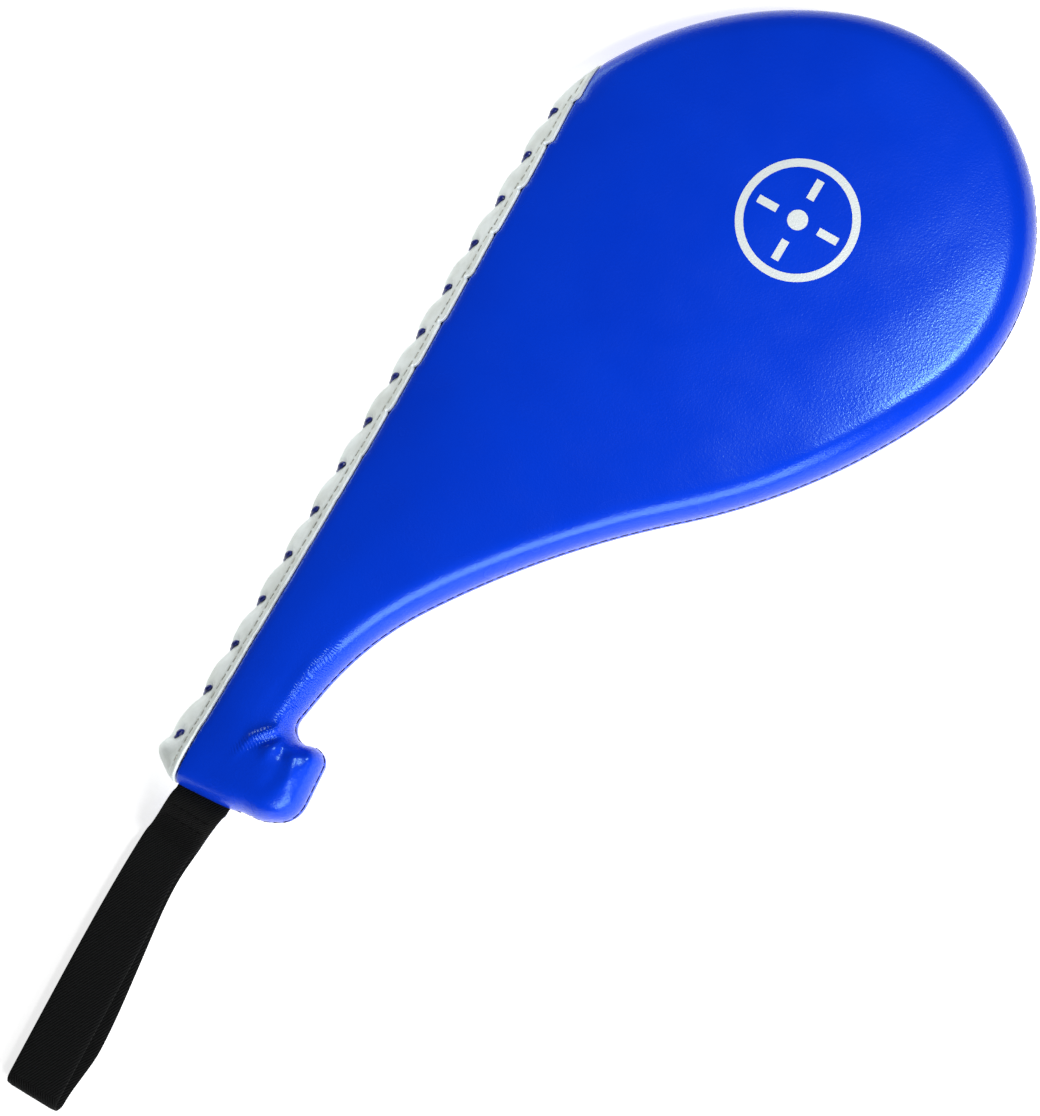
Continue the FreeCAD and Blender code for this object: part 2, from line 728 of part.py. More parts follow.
TACK_LONG, TACK_WIDE, TACK_HIGH = 3.0, 0.8, 0.35
TACK_PITCH = 4.0
TACK_COUNT = 5
top_run = (SPLIT - 1.0 - START_HIGH[0], UPPER + WEB / 2 - START_HIGH[1])
top_slope = math.atan2(top_run[1], top_run[0])
tacks = []
for share in (0.25, 0.7):
    for k in range(TACK_COUNT):
        block = Part.makeBox(TACK_WIDE, TACK_LONG, TACK_HIGH,
                             Vector(-TACK_WIDE / 2, -TACK_LONG / 2, 2 * STITCH_CLEAR))
        block.rotate(Vector(0, 0, 0), Vector(0, 1, 0), -math.degrees(top_slope))
        block.rotate(Vector(0, 0, 0), Vector(0, 0, 1), math.degrees(STRAP_HEADING))
        side = (k - (TACK_COUNT - 1) / 2) * TACK_PITCH
        block.translate(at_strap(START_HIGH[0] + share * top_run[0], side,
                                 START_HIGH[1] + share * top_run[1]))
        tacks.append(block)
stitching("strap_tack_stitching", tacks)

# --- write ---------------------------------------------------------------------------
NODES = [
    "front_panel", "back_panel", "front_lacing_strip", "back_lacing_strip", "lace",
    "lace_end_knots", "front_strip_stitching", "back_strip_stitching",
    "edge_seam_stitching", "emblem", "front_foam_pad", "back_foam_pad", "spine_plate",
    "handle_core_front", "handle_core_back", "handle_rivets", "strap_rivet", "strap_tail",
    "strap_root", "strap_tack_stitching", "strap_lower_near", "strap_lower_middle",
    "strap_lower_far", "strap_fold", "strap_upper_far", "strap_upper_middle",
    "strap_upper_near",
]

doc.recompute()
for feature in doc.Objects:
    if "Invalid" in feature.State or "Error" in feature.State:
        raise RuntimeError("%s: %s" % (feature.Name, feature.State))

os.makedirs("parts", exist_ok=True)
for old in os.listdir("parts"):
    os.remove(os.path.join("parts", old))
for name in NODES:
    feature = doc.getObject(name)
    feature.Label = name
    shape = feature.Shape
    if shape.isNull() or not shape.isValid() or not shape.Solids:
        raise RuntimeError("bad shape: " + name)
    shape.exportStep("parts/%s.step" % name)
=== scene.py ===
import cmath
import json
import math
import bmesh
import bpy
import numpy as np
from mathutils import Matrix, Vector
from mathutils.geometry import delaunay_2d_cdt


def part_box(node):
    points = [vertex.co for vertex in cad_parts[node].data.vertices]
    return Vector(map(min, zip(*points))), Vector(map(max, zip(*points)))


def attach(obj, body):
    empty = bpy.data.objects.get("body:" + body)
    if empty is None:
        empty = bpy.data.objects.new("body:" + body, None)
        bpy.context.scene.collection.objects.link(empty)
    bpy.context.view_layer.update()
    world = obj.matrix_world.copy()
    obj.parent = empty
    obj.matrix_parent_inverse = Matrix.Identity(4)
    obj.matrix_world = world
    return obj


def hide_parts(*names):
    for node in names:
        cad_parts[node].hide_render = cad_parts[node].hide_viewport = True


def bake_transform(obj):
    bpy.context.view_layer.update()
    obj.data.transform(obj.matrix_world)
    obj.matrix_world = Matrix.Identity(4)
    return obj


# Looks of the kick paddle. Plan work is done in millimetres with complex numbers,
# x + 1j * y, and every mesh is written in metres in the frame of the CAD part.

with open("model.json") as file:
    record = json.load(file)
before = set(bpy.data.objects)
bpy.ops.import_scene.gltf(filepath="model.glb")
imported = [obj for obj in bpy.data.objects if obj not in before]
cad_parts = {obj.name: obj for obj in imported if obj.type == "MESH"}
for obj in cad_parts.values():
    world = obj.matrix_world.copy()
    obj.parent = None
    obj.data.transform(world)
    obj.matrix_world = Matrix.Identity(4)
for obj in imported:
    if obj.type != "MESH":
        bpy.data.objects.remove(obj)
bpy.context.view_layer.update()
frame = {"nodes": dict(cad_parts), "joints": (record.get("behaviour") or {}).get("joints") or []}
MM = 0.001
JOINT_AT = {joint["name"]: Vector(joint["pos_m"]) / MM for joint in frame["joints"]}

# --- the cover's outline -------------------------------------------------------------

# Counter-clockwise from the underside of the blade: "turn" is a tangent arc (radius,
# degrees, positive to the left) and "run" is a straight length (length, name).
OUTLINE_HEADING = -5.8
OUTLINE = [
    ("turn", 85.9, 134.3),
    ("turn", 138.2, 46.3),
    ("turn", 58.9, 23.8),
    ("run", 0.0, "laced_edge"),
    ("turn", 132.4, -12.0),
    ("turn", 7.8, 68.3),
    ("run", 6.4, "end_upper"),
    ("turn", 11.4, 38.0),
    ("run", 0.0, "end_lower"),
    ("turn", 15.0, 90.6),
    ("run", 14.9, "flare_side"),
    ("turn", 6.0, 105.6),
    ("run", 1.0, "notch_side"),
    ("turn", 6.6, -120.2),
    ("run", 12.8, "neck_side"),
    ("turn", 125.7, -23.2),
    ("turn", 379.6, -15.7),
    ("turn", 258.9, 24.2),
]
FREE_RUNS = ("laced_edge", "end_lower")


def trace(lengths):
    """The outline's edges in order from the origin, and the point where they end."""
    at = 0j
    heading = cmath.exp(1j * math.radians(OUTLINE_HEADING))
    turned = sum(step[2] for step in OUTLINE if step[0] == "turn")
    edges = []
    for step in OUTLINE:
        edge = {"kind": step[0], "start": at, "heading": heading}
        if step[0] == "run":
            edge["name"] = step[2]
            edge["length"] = lengths.get(step[2], step[1])
            at += edge["length"] * heading
        else:
            degrees = step[2] + (360.0 - turned if step is OUTLINE[-1] else 0.0)
            edge["sweep"] = math.radians(degrees)
            edge["side"] = math.copysign(1.0, degrees)
            edge["radius"] = step[1]
            edge["length"] = step[1] * abs(edge["sweep"])
            edge["centre"] = at + edge["side"] * step[1] * 1j * heading
            at = edge["centre"] + (at - edge["centre"]) * cmath.exp(1j * edge["sweep"])
            heading *= cmath.exp(1j * edge["sweep"])
        edges.append(edge)
    return edges, at


def closed_outline():
    """The outline with its two free straight lengths set so that it closes."""
    edges, end = trace({name: 0.0 for name in FREE_RUNS})
    first, second = [edge["heading"] for edge in edges if edge.get("name") in FREE_RUNS]
    rows = [[first.real, second.real], [first.imag, second.imag]]
    lengths = np.linalg.solve(rows, [-end.real, -end.imag])
    return trace(dict(zip(FREE_RUNS, lengths)))[0]


def outline_columns(spacing):
    """Points round the outline and the outward direction at each."""
    points = []
    outward = []
    for edge in EDGES:
        finest = min(spacing, 0.2 * edge.get("radius", spacing * 5))
        count = max(2, math.ceil(edge["length"] / finest))
        share = np.arange(count) / count
        if edge["kind"] == "run":
            points.append(edge["start"] + share * edge["length"] * edge["heading"])
            outward.append(np.full(count, -1j * edge["heading"]))
        else:
            spin = np.exp(1j * edge["sweep"] * share)
            points.append(edge["centre"] + (edge["start"] - edge["centre"]) * spin)
            outward.append(-1j * edge["heading"] * spin)
    return np.concatenate(points), np.concatenate(outward)


EDGES = closed_outline()
panel_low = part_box("front_panel")[0] / MM
strip_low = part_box("front_lacing_strip")[0] / MM
traced = outline_columns(0.5)[0]
SHIFT = (min(panel_low.x, strip_low.x) - traced.real.min()
         + 1j * (panel_low.y - traced.imag.min()))
for edge in EDGES:
    edge["start"] += SHIFT
    if edge["kind"] == "turn":
        edge["centre"] += SHIFT
LACED = next(edge for edge in EDGES if edge.get("name") == "laced_edge")


def depth(points):
    """How far each plan point lies inside the outline, negative outside it."""
    best = np.full(points.shape, 1e6)
    for edge in EDGES:
        if edge["kind"] == "run":
            local = (points - edge["start"]) * np.conj(edge["heading"])
            gap = np.abs(local - np.clip(local.real, 0, edge["length"]))
            inside = local.imag >= 0
        else:
            arm = edge["start"] - edge["centre"]
            spoke = (points - edge["centre"]) / arm
            angle = np.mod(np.angle(spoke) * edge["side"], 2 * math.pi)
            last = cmath.exp(1j * edge["sweep"])
            to_ends = np.minimum(np.abs(spoke - 1), np.abs(spoke - last)) * abs(arm)
            radial = np.abs(np.abs(spoke) - 1) * abs(arm)
            gap = np.where(angle <= abs(edge["sweep"]), radial, to_ends)
            inside = (np.abs(spoke) < 1) == (edge["side"] > 0)
        nearer = gap < np.abs(best)
        best = np.where(nearer, np.where(inside, gap, -gap), best)
    return best


def ramp(value, start, end):
    """0 before start, 1 after end, and smooth between."""
    share = np.clip((value - start) / (end - start), 0, 1)
    return share * share * (3 - 2 * share)


def bell(distance, half):
    """1 at no distance, falling away smoothly over the half width."""
    return np.exp(-(distance / half) ** 2)


def cad_box(node):
    """The low and high corners of a CAD node, in millimetres."""
    return [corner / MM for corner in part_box(node)]


def laced(points):
    """Points seen from the laced edge: real is along it, imaginary is inside it."""
    return (points - LACED["start"]) * np.conj(LACED["heading"])


def from_laced(along, inside):
    return LACED["start"] + (along + 1j * inside) * LACED["heading"]


# Depth rounded off along the middle ridges, kept on a grid and read with smooth weights.
GRID_STEP = 1.0
GRID_MARGIN = 12.0
GRID_BLUR = 3.0
grid_x = np.arange(traced.real.min() + SHIFT.real - GRID_MARGIN,
                   traced.real.max() + SHIFT.real + GRID_MARGIN, GRID_STEP)
grid_y = np.arange(traced.imag.min() + SHIFT.imag - GRID_MARGIN,
                   traced.imag.max() + SHIFT.imag + GRID_MARGIN, GRID_STEP)


def blurred(field, sigma):
    reach = np.arange(-int(3 * sigma), int(3 * sigma) + 1)
    kernel = np.exp(-0.5 * (reach / sigma) ** 2)
    kernel /= kernel.sum()
    for axis in (0, 1):
        pads = [(0, 0), (0, 0)]
        pads[axis] = (len(reach) // 2, len(reach) // 2)
        padded = np.pad(field, pads, mode="edge")
        field = np.apply_along_axis(np.convolve, axis, padded, kernel, mode="valid")
    return field


DEPTH_GRID = blurred(depth(grid_x[:, None] + 1j * grid_y[None, :]), GRID_BLUR / GRID_STEP)


def grid_weights(share):
    return [(1 - share) ** 3 / 6,
            (3 * share ** 3 - 6 * share ** 2 + 4) / 6,
            (-3 * share ** 3 + 3 * share ** 2 + 3 * share + 1) / 6,
            share ** 3 / 6]


def soft_depth(points):
    """Depth that is exact near the edge and rounded further in."""
    column = (points.real - grid_x[0]) / GRID_STEP
    row = (points.imag - grid_y[0]) / GRID_STEP
    i = np.clip(np.floor(column).astype(int), 1, len(grid_x) - 3)
    j = np.clip(np.floor(row).astype(int), 1, len(grid_y) - 3)
    total = np.zeros(points.shape)
    for a, weight_a in enumerate(grid_weights(column - i)):
        for b, weight_b in enumerate(grid_weights(row - j)):
            total += weight_a * weight_b * DEPTH_GRID[i + a - 1, j + b - 1]
    exact = depth(points)
    return exact + (total - exact) * ramp(exact, 3.0, 8.0)


# --- the cover's shape ---------------------------------------------------------------

TOP = cad_box("front_panel")[1].z
MIDDLE = TOP / 2
EDGE_WIDE, EDGE_POWER = 11.0, 2.3
LACED_WIDE, LACED_POWER = 14.0, 1.6
CROWN, CROWN_WIDE = 4.6, 27.0
FRONT_RISE = TOP - 0.4 - CROWN - MIDDLE
BACK_DROP = MIDDLE - 0.25
BACK_SWELL = 0.22
SEAM_DEEP, SEAM_HALF = 0.9, 0.8
STRIP_REACH = 10.1
LACE_FIRST, LACE_PITCH, LACE_COUNT = -9.0, 20.0, 15
LACE_SLANT = 8.0
# The laced edge's share of the shape: fades in and out along the edge, and away from it.
LACING_IN, LACING_OUT, LACING_AWAY = (-36, -10), (264, 288), (20, 34)
LACING_START, LACING_END = -60, 300
HOLE_INSIDE = 4.1
NICK_BEFORE = 5.5

# Ridges and folds where the cover is drawn round the notch under the handle:
# plan points, half width and height, all in millimetres.
FOLDS = [
    ([-95 - 23j, -99 - 21.5j, -108 - 18j, -119 - 19j], 1.6, 1.5),
    ([-95 - 25j, -102 - 24j, -111 - 21j], 1.4, -1.2),
    ([-96 - 26j, -102 - 28j, -106 - 33j], 1.6, -1.1),
    ([-98 - 29j, -106 - 26.5j, -114 - 28j], 2.2, 0.8),
    ([-99 - 25j, -112 - 25j], 7.0, 0.9),
    ([-94 - 21j, -87 - 16.5j, -73 - 13j, -58 - 12j], 3.0, 0.75),
    ([-94 - 23j, -88 - 21j, -80 - 19j], 1.8, -0.7),
    ([-101 - 34j, -107 - 39j, -114 - 41j], 1.7, 0.6),
    ([-104 - 31j, -112 - 35j, -121 - 36j], 2.6, -0.4),
]


def dome(share, power):
    """Height of a rounded edge, 0 to 1, at a share of its width."""
    rest = np.clip(1 - share, 0, 1)
    return np.clip(1 - rest ** power, 0, 1) ** (1 / power)


def near_lacing(points):
    """1 beside the laced edge, fading to 0 away from it."""
    local = laced(points)
    along = ramp(local.real, *LACING_IN) * (1 - ramp(local.real, *LACING_OUT))
    return along * (1 - ramp(local.imag, *LACING_AWAY))


def beside_lacing(local):
    """True along the strip's whole length, for points seen from the laced edge."""
    return (local.real > LACING_START) & (local.real < LACING_END)


def line_distance(points, line):
    """Distance to a broken line, and the share of its length at the nearest point."""
    best = np.full(points.shape, 1e6)
    share = np.zeros(points.shape)
    for index in range(len(line) - 1):
        run = line[index + 1] - line[index]
        t = np.clip(((points - line[index]) * np.conj(run)).real / abs(run) ** 2, 0, 1)
        gap = np.abs(points - line[index] - t * run)
        share = np.where(gap < best, (index + t) / (len(line) - 1), share)
        best = np.minimum(best, gap)
    return best, share


def folds(points):
    """Height of the folds round the notch."""
    total = np.zeros(points.shape)
    for line, half, rise in FOLDS:
        gap, share = line_distance(points, line)
        taper = 1 - ramp(share, 0.55, 1.0) * 0.9
        total += rise * taper * bell(gap, half)
    return total


def swell(points):
    """Slow waves of the padding under the cover."""
    x, y = points.real, points.imag
    return (0.22 * np.sin(x / 19.0 + 0.6 * np.sin(y / 23.0))
            * np.sin(y / 16.0 + 0.5 * np.sin(x / 31.0))
            + 0.10 * np.sin((x + y) / 9.0) * np.sin((x - 1.3 * y) / 13.0))


def edge_shape(points, inside):
    plain = dome(inside / EDGE_WIDE, EDGE_POWER)
    bevel = dome(inside / LACED_WIDE, LACED_POWER)
    return plain + (bevel - plain) * near_lacing(points)


def crown(inside):
    """How far the padding stands above the edge's own curve."""
    return CROWN * (1 - np.exp(-np.maximum(inside, 0) / CROWN_WIDE))


def height(points, face):
    """Height of the cover over plan points: face is 1 for the front and -1 for the back."""
    inside = soft_depth(points)
    shape = edge_shape(points, inside)
    waves = swell(points) * ramp(inside, 2.0, 9.0)
    if face < 0:
        return MIDDLE - BACK_DROP * shape + BACK_SWELL * waves
    rise = FRONT_RISE * shape + crown(inside)
    return MIDDLE + rise + waves + folds(points) * ramp(inside, 1.0, 6.0)


# --- meshes --------------------------------------------------------------------------

RIM_INSETS = (0.0, 0.005, 0.03, 0.1, 0.25, 0.5, 0.9, 1.4, 2.1, 3.0, 4.0)
EXACT_RIM = 3.5
COLUMN_STEP = 1.5
FINE_STEP, COARSE_STEP = 1.5, 3.6
FINE_BAND = 17.0
HANDLE_X = 0.0
NOTCH_FOLDS = -106.0 - 27.0j


def hex_grid(step):
    """Plan points on a triangular grid over the whole outline."""
    rows = np.arange(grid_y[0], grid_y[-1], step * math.sqrt(0.75))
    points = []
    for index, y in enumerate(rows):
        start = grid_x[0] + (0.5 * step if index % 2 else 0.0)
        points.append(np.arange(start, grid_x[-1], step) + 1j * y)
    return np.concatenate(points)


def bands(rows, around):
    """Faces between neighbouring closed rows of vertices."""
    return [(row * around + i, row * around + j, (row + 1) * around + j, (row + 1) * around + i)
            for row in range(rows - 1) for i in range(around) for j in [(i + 1) % around]]


def patch(middle, half_long, half_wide, step, turn=1.0):
    """A dense rectangle of plan points for a small feature."""
    x, y = np.meshgrid(np.arange(-half_long, half_long + step / 2, step),
                       np.arange(-half_wide, half_wide + step / 2, step))
    return middle + turn * (x + 1j * y).ravel()


def dense_points():
    """Plan points round the notch's folds and the small cuts in the strip's edge."""
    heading = LACED["heading"]
    patches = [patch(NOTCH_FOLDS, 15.0, 13.0, 0.8)]
    for k in range(10):
        along = LACE_FIRST - NICK_BEFORE + k * LACE_PITCH
        patches.append(patch(from_laced(along, STRIP_REACH - 0.6), 2.4, 2.2, 0.4, heading))
    return np.concatenate(patches)


def inner_points():
    """Plan points inside the rim: close together at the edge and in the handle."""
    limit = RIM_INSETS[-1] + 0.7
    dense = dense_points()
    dense = dense[depth(dense) > limit]
    fine = hex_grid(FINE_STEP)
    inside = depth(fine)
    fine = fine[(inside > limit) & ((inside < FINE_BAND) | (fine.real < HANDLE_X))]
    coarse = hex_grid(COARSE_STEP)
    inside = depth(coarse)
    coarse = coarse[(inside >= FINE_BAND) & (coarse.real >= HANDLE_X)]
    return np.concatenate([dense, clear_of(dense, fine), coarse])


def clear_of(dense, points):
    """The points that aren't among the dense ones."""
    keep = np.ones(points.shape, bool)
    for start in range(0, len(dense), 200):
        block = dense[start:start + 200]
        keep &= np.abs(points[:, None] - block[None, :]).min(axis=1) > 0.75
    return points[keep]


def plan_mesh():
    """Plan points of the cover, the rim row of each (or -1), and faces seen from above."""
    rim, outward = outline_columns(COLUMN_STEP)
    count = len(rim)
    points = np.concatenate([rim - inset * outward for inset in RIM_INSETS])
    rows = np.repeat(np.arange(len(RIM_INSETS)), count)
    faces = bands(len(RIM_INSETS), count)
    border = points[-count:]
    flat = np.concatenate([border, inner_points()])
    loop = [(i, (i + 1) % count) for i in range(count)]
    result = delaunay_2d_cdt([(p.real, p.imag) for p in flat], loop, [], 1, 1e-6)
    index_of = []
    extra = []
    for place, origin in zip(result[0], result[3]):
        if origin and origin[0] < count:
            index_of.append(len(points) - count + origin[0])
        else:
            index_of.append(len(points) + len(extra))
            extra.append(complex(place[0], place[1]))
    faces += [tuple(index_of[v] for v in face) for face in result[2]]
    points = np.concatenate([points, extra])
    rows = np.concatenate([rows, np.full(len(extra), -1)])
    return points, rows, faces


PLAN, PLAN_ROWS, PLAN_FACES = plan_mesh()


def seam_roll(points, heights):
    """Plan points drawn inwards where the cover turns in at the middle seam."""
    pull = SEAM_DEEP * bell(heights - MIDDLE, SEAM_HALF)
    step = 0.05
    slope = (depth(points + step) - depth(points - step)
             + 1j * (depth(points + 1j * step) - depth(points - 1j * step)))
    return points + pull * slope / np.maximum(np.abs(slope), 1e-6)


def cover_surface(face):
    """Vertices (n, 3) of one whole face of the cover, in millimetres."""
    inset = np.array(RIM_INSETS)[PLAN_ROWS]
    on_rim = PLAN_ROWS >= 0
    z = height(PLAN, face)
    shape = edge_shape(PLAN, inset)
    rim = FRONT_RISE * shape + crown(inset) if face > 0 else -BACK_DROP * shape
    z = np.where(on_rim & (inset < EXACT_RIM), MIDDLE + rim, z)
    plan = np.where(on_rim, seam_roll(PLAN, z), PLAN)
    return np.column_stack([plan.real, plan.imag, z])


def linked(name, data):
    """A new object of the scene."""
    item = bpy.data.objects.new(name, data)
    bpy.context.scene.collection.objects.link(item)
    return item


def new_piece(name, vertices, faces, material, smooth=True):
    """A mesh object in metres from vertices in millimetres."""
    mesh = bpy.data.meshes.new(name)
    mesh.from_pydata((np.asarray(vertices, float) * MM).tolist(), [], [list(f) for f in faces])
    mesh.update()
    if smooth:
        mesh.shade_smooth()
    mesh.materials.append(material)
    return linked(name, mesh)


# --- materials -----------------------------------------------------------------------

class Shading:
    """One procedural material, built from its principled shader outwards."""

    def __init__(self, name, colour, roughness, **sockets):
        self.material = bpy.data.materials.new(name)
        self.material.use_nodes = True
        self.tree = self.material.node_tree
        self.shader = self.tree.nodes["Principled BSDF"]
        self.shader.inputs["Base Color"].default_value = (*colour, 1)
        self.shader.inputs["Roughness"].default_value = roughness
        for socket, value in sockets.items():
            self.shader.inputs[socket.replace("_", " ")].default_value = value
        self.places = self.node("ShaderNodeTexCoord").outputs["Object"]

    def node(self, kind, **settings):
        node = self.tree.nodes.new(kind)
        for name, value in settings.items():
            setattr(node, name, value)
        return node

    def feed(self, value, socket):
        """Links an output, or sets a plain value."""
        if isinstance(value, bpy.types.NodeSocket):
            self.tree.links.new(value, socket)
        else:
            socket.default_value = value

    def noise(self, scale, detail=2.0, places=None):
        node = self.node("ShaderNodeTexNoise")
        self.feed(places or self.places, node.inputs["Vector"])
        node.inputs["Scale"].default_value = scale
        node.inputs["Detail"].default_value = detail
        return node.outputs["Fac"]

    def cells(self, scale, feature="F1"):
        node = self.node("ShaderNodeTexVoronoi", feature=feature)
        self.feed(self.places, node.inputs["Vector"])
        node.inputs["Scale"].default_value = scale
        return node.outputs["Distance"]

    def math(self, operation, first, second=0.0):
        node = self.node("ShaderNodeMath", operation=operation)
        self.feed(first, node.inputs[0])
        self.feed(second, node.inputs[1])
        return node.outputs[0]

    def times(self, first, second):
        return self.math("MULTIPLY", first, second)

    def remap(self, value, low, high, new_low=0.0, new_high=1.0):
        node = self.node("ShaderNodeMapRange", interpolation_type="SMOOTHSTEP")
        for socket, number in zip(node.inputs[:5], (value, low, high, new_low, new_high)):
            self.feed(number, socket)
        return node.outputs[0]

    def blend(self, share, first, second):
        node = self.node("ShaderNodeMix", data_type="RGBA")
        self.feed(share, node.inputs["Factor"])
        for colour, socket in ((first, node.inputs[6]), (second, node.inputs[7])):
            if isinstance(colour, tuple):
                colour = (*colour, 1)
            self.feed(colour, socket)
        return node.outputs[2]

    def colour(self, value):
        self.feed(value, self.shader.inputs["Base Color"])

    def roughness(self, value):
        self.feed(value, self.shader.inputs["Roughness"])

    def bump(self, value, distance):
        """Adds a layer of relief, deep as distance in metres."""
        node = self.node("ShaderNodeBump")
        node.inputs["Strength"].default_value = 1.0
        node.inputs["Distance"].default_value = distance
        self.feed(value, node.inputs["Height"])
        before = self.shader.inputs["Normal"].links
        if before:
            self.feed(before[0].from_socket, node.inputs["Normal"])
        self.feed(node.outputs["Normal"], self.shader.inputs["Normal"])


BLUE = (0.0002, 0.042, 0.680)
DEEP_BLUE = (0.0002, 0.030, 0.560)
WHITE = (0.900, 0.980, 0.960)
NAVY = (0.003, 0.006, 0.085)
BLACK = (0.0012, 0.0014, 0.0014)
PRINT_WHITE = (0.70, 0.76, 0.77)

# Places where the leather is pressed into fine ribs: middle, direction, half sizes.
PUCKERS = [
    (-78.0 - 15.5j, 11.0, 24.0, 4.5),
    (-108.0 - 19.5j, -14.0, 13.0, 3.6),
]
PUCKER_PITCH, PUCKER_WANDER = 1.25, 0.1575


def pucker(look, middle, degrees, half_long, half_wide):
    """Fine ribs across a long patch of the leather, fading out at its edges."""
    place = look.node("ShaderNodeMapping", vector_type="TEXTURE")
    look.feed(look.places, place.inputs["Vector"])
    place.inputs["Location"].default_value = (middle.real * MM, middle.imag * MM, 0)
    place.inputs["Rotation"].default_value = (0, 0, math.radians(degrees))
    place.inputs["Scale"].default_value = (half_long * MM, half_wide * MM, 1)
    split = look.node("ShaderNodeSeparateXYZ")
    look.feed(place.outputs[0], split.inputs[0])
    x, y = split.outputs[0], split.outputs[1]
    square = look.math("ADD", look.times(x, x), look.times(y, y))
    mask = look.remap(square, 0.15, 1.0, 1.0, 0.0)
    wandering = look.math("ADD", x, look.times(look.noise(180.0), PUCKER_WANDER))
    turns = look.times(wandering, 2 * math.pi * half_long / PUCKER_PITCH)
    look.bump(look.times(look.math("SINE", turns), mask), 0.00007)


def blue_leather():
    look = Shading("blue_leather", BLUE, 0.24, Specular_IOR_Level=0.36,
                   Specular_Tint=(0.50, 1.0, 1.0, 1.0))
    pebbles = look.remap(look.cells(1000.0, "DISTANCE_TO_EDGE"), 0.0, 0.45)
    crumpled = look.noise(900.0, 2.0)
    tone = look.remap(look.noise(16.0, 3.0), 0.3, 0.7)
    look.colour(look.blend(look.times(tone, 0.45), BLUE, DEEP_BLUE))
    look.roughness(look.remap(look.noise(60.0), 0.3, 0.7, 0.23, 0.28))
    look.bump(pebbles, 0.00002)
    look.bump(crumpled, 0.00007)
    for middle, degrees, half_long, half_wide in PUCKERS:
        pucker(look, middle, degrees, half_long, half_wide)
    return look.material


def white_leather():
    look = Shading("white_leather", WHITE, 0.42, Specular_IOR_Level=0.3)
    tone = look.remap(look.noise(90.0, 3.0), 0.35, 0.7)
    look.colour(look.blend(look.times(tone, 0.5), WHITE, (0.640, 0.690, 0.620)))
    look.bump(look.remap(look.cells(900.0, "DISTANCE_TO_EDGE"), 0.0, 0.25), 0.00003)
    look.bump(look.noise(260.0, 3.0), 0.00012)
    return look.material


def thread(name, colour):
    look = Shading(name, colour, 0.7, Specular_IOR_Level=0.15)
    look.bump(look.noise(3500.0, 2.0), 0.00008)
    dark = tuple(0.6 * part for part in colour)
    look.colour(look.blend(look.remap(look.noise(900.0), 0.4, 0.65), colour, dark))
    return look.material


def lace_cord():
    look = Shading("lace_cord", NAVY, 0.24, Specular_IOR_Level=0.6, Coat_Weight=0.35)
    weave = look.cells(1400.0)
    look.colour(look.blend(look.remap(weave, 0.1, 0.6), NAVY, (0.010, 0.022, 0.260)))
    look.bump(weave, 0.00010)
    return look.material


RIB_SLOPE, RIB_PITCH, STEP_PITCH = 0.57, 0.0011, 0.0009


def webbing():
    """Black twill: fine slanted ribs across the tape, from its own metre coordinates."""
    look = Shading("black_webbing", BLACK, 0.80, Sheen_Weight=0.02, Specular_IOR_Level=0.10)
    across = look.node("ShaderNodeUVMap", uv_map="tape").outputs["UV"]
    split = look.node("ShaderNodeSeparateXYZ")
    look.feed(across, split.inputs[0])
    slanted = look.math("SUBTRACT", split.outputs[0], look.times(split.outputs[1], RIB_SLOPE))
    ribs = look.math("SINE", look.times(slanted, 2 * math.pi / RIB_PITCH))
    steps = look.math("SINE", look.times(split.outputs[1], 2 * math.pi / STEP_PITCH))
    look.bump(look.math("ADD", ribs, look.times(steps, 0.35)), 0.00010)
    look.bump(look.noise(2600.0, 2.0), 0.00006)
    lint = look.remap(look.noise(1900.0, 4.0), 0.60, 0.72)
    # Colour lighter on the rib tops than in the grooves: painted sheen on the twill, not wear of
    # the tape.
    wear_and_sheen = look.blend(look.remap(ribs, -0.6, 1.0), BLACK, (0.0080, 0.0085, 0.0085))
    look.colour(look.blend(look.times(lint, 0.3), wear_and_sheen, (0.022, 0.022, 0.023)))
    return look.material


def white_print():
    look = Shading("white_print", PRINT_WHITE, 0.38)
    wear_and_sheen = look.remap(look.noise(700.0, 4.0), 0.62, 0.74)
    look.colour(look.blend(look.times(wear_and_sheen, 0.3), PRINT_WHITE, (0.50, 0.58, 0.72)))
    look.bump(look.remap(look.cells(720.0, "DISTANCE_TO_EDGE"), 0.0, 0.22), 0.00004)
    return look.material


def grey_foam():
    look = Shading("grey_foam", (0.20, 0.20, 0.21), 0.9)
    pores = look.cells(900.0)
    look.colour(look.blend(look.remap(pores, 0.2, 0.7), (0.26, 0.26, 0.27), (0.12, 0.12, 0.13)))
    look.bump(pores, 0.0003)
    return look.material


def plate_plastic():
    look = Shading("plate_plastic", (0.045, 0.047, 0.050), 0.42)
    look.roughness(look.remap(look.noise(140.0), 0.3, 0.7, 0.36, 0.5))
    look.bump(look.noise(1800.0), 0.00004)
    return look.material


def core_wood():
    """Plywood: grain along the handle, and thin glued layers up its edge."""
    look = Shading("core_wood", (0.46, 0.29, 0.15), 0.55)
    stretch = look.node("ShaderNodeMapping")
    look.feed(look.places, stretch.inputs["Vector"])
    stretch.inputs["Scale"].default_value = (12.0, 160.0, 700.0)
    grain = look.noise(1.0, 4.0, stretch.outputs[0])
    look.colour(look.blend(look.remap(grain, 0.35, 0.65), (0.52, 0.34, 0.18), (0.30, 0.17, 0.08)))
    look.bump(grain, 0.0002)
    return look.material


def rivet_metal():
    look = Shading("rivet_metal", (0.62, 0.60, 0.56), 0.3, Metallic=1.0)
    scratched = look.noise(1500.0, 4.0)
    look.roughness(look.remap(scratched, 0.3, 0.7, 0.22, 0.42))
    look.bump(scratched, 0.00002)
    return look.material


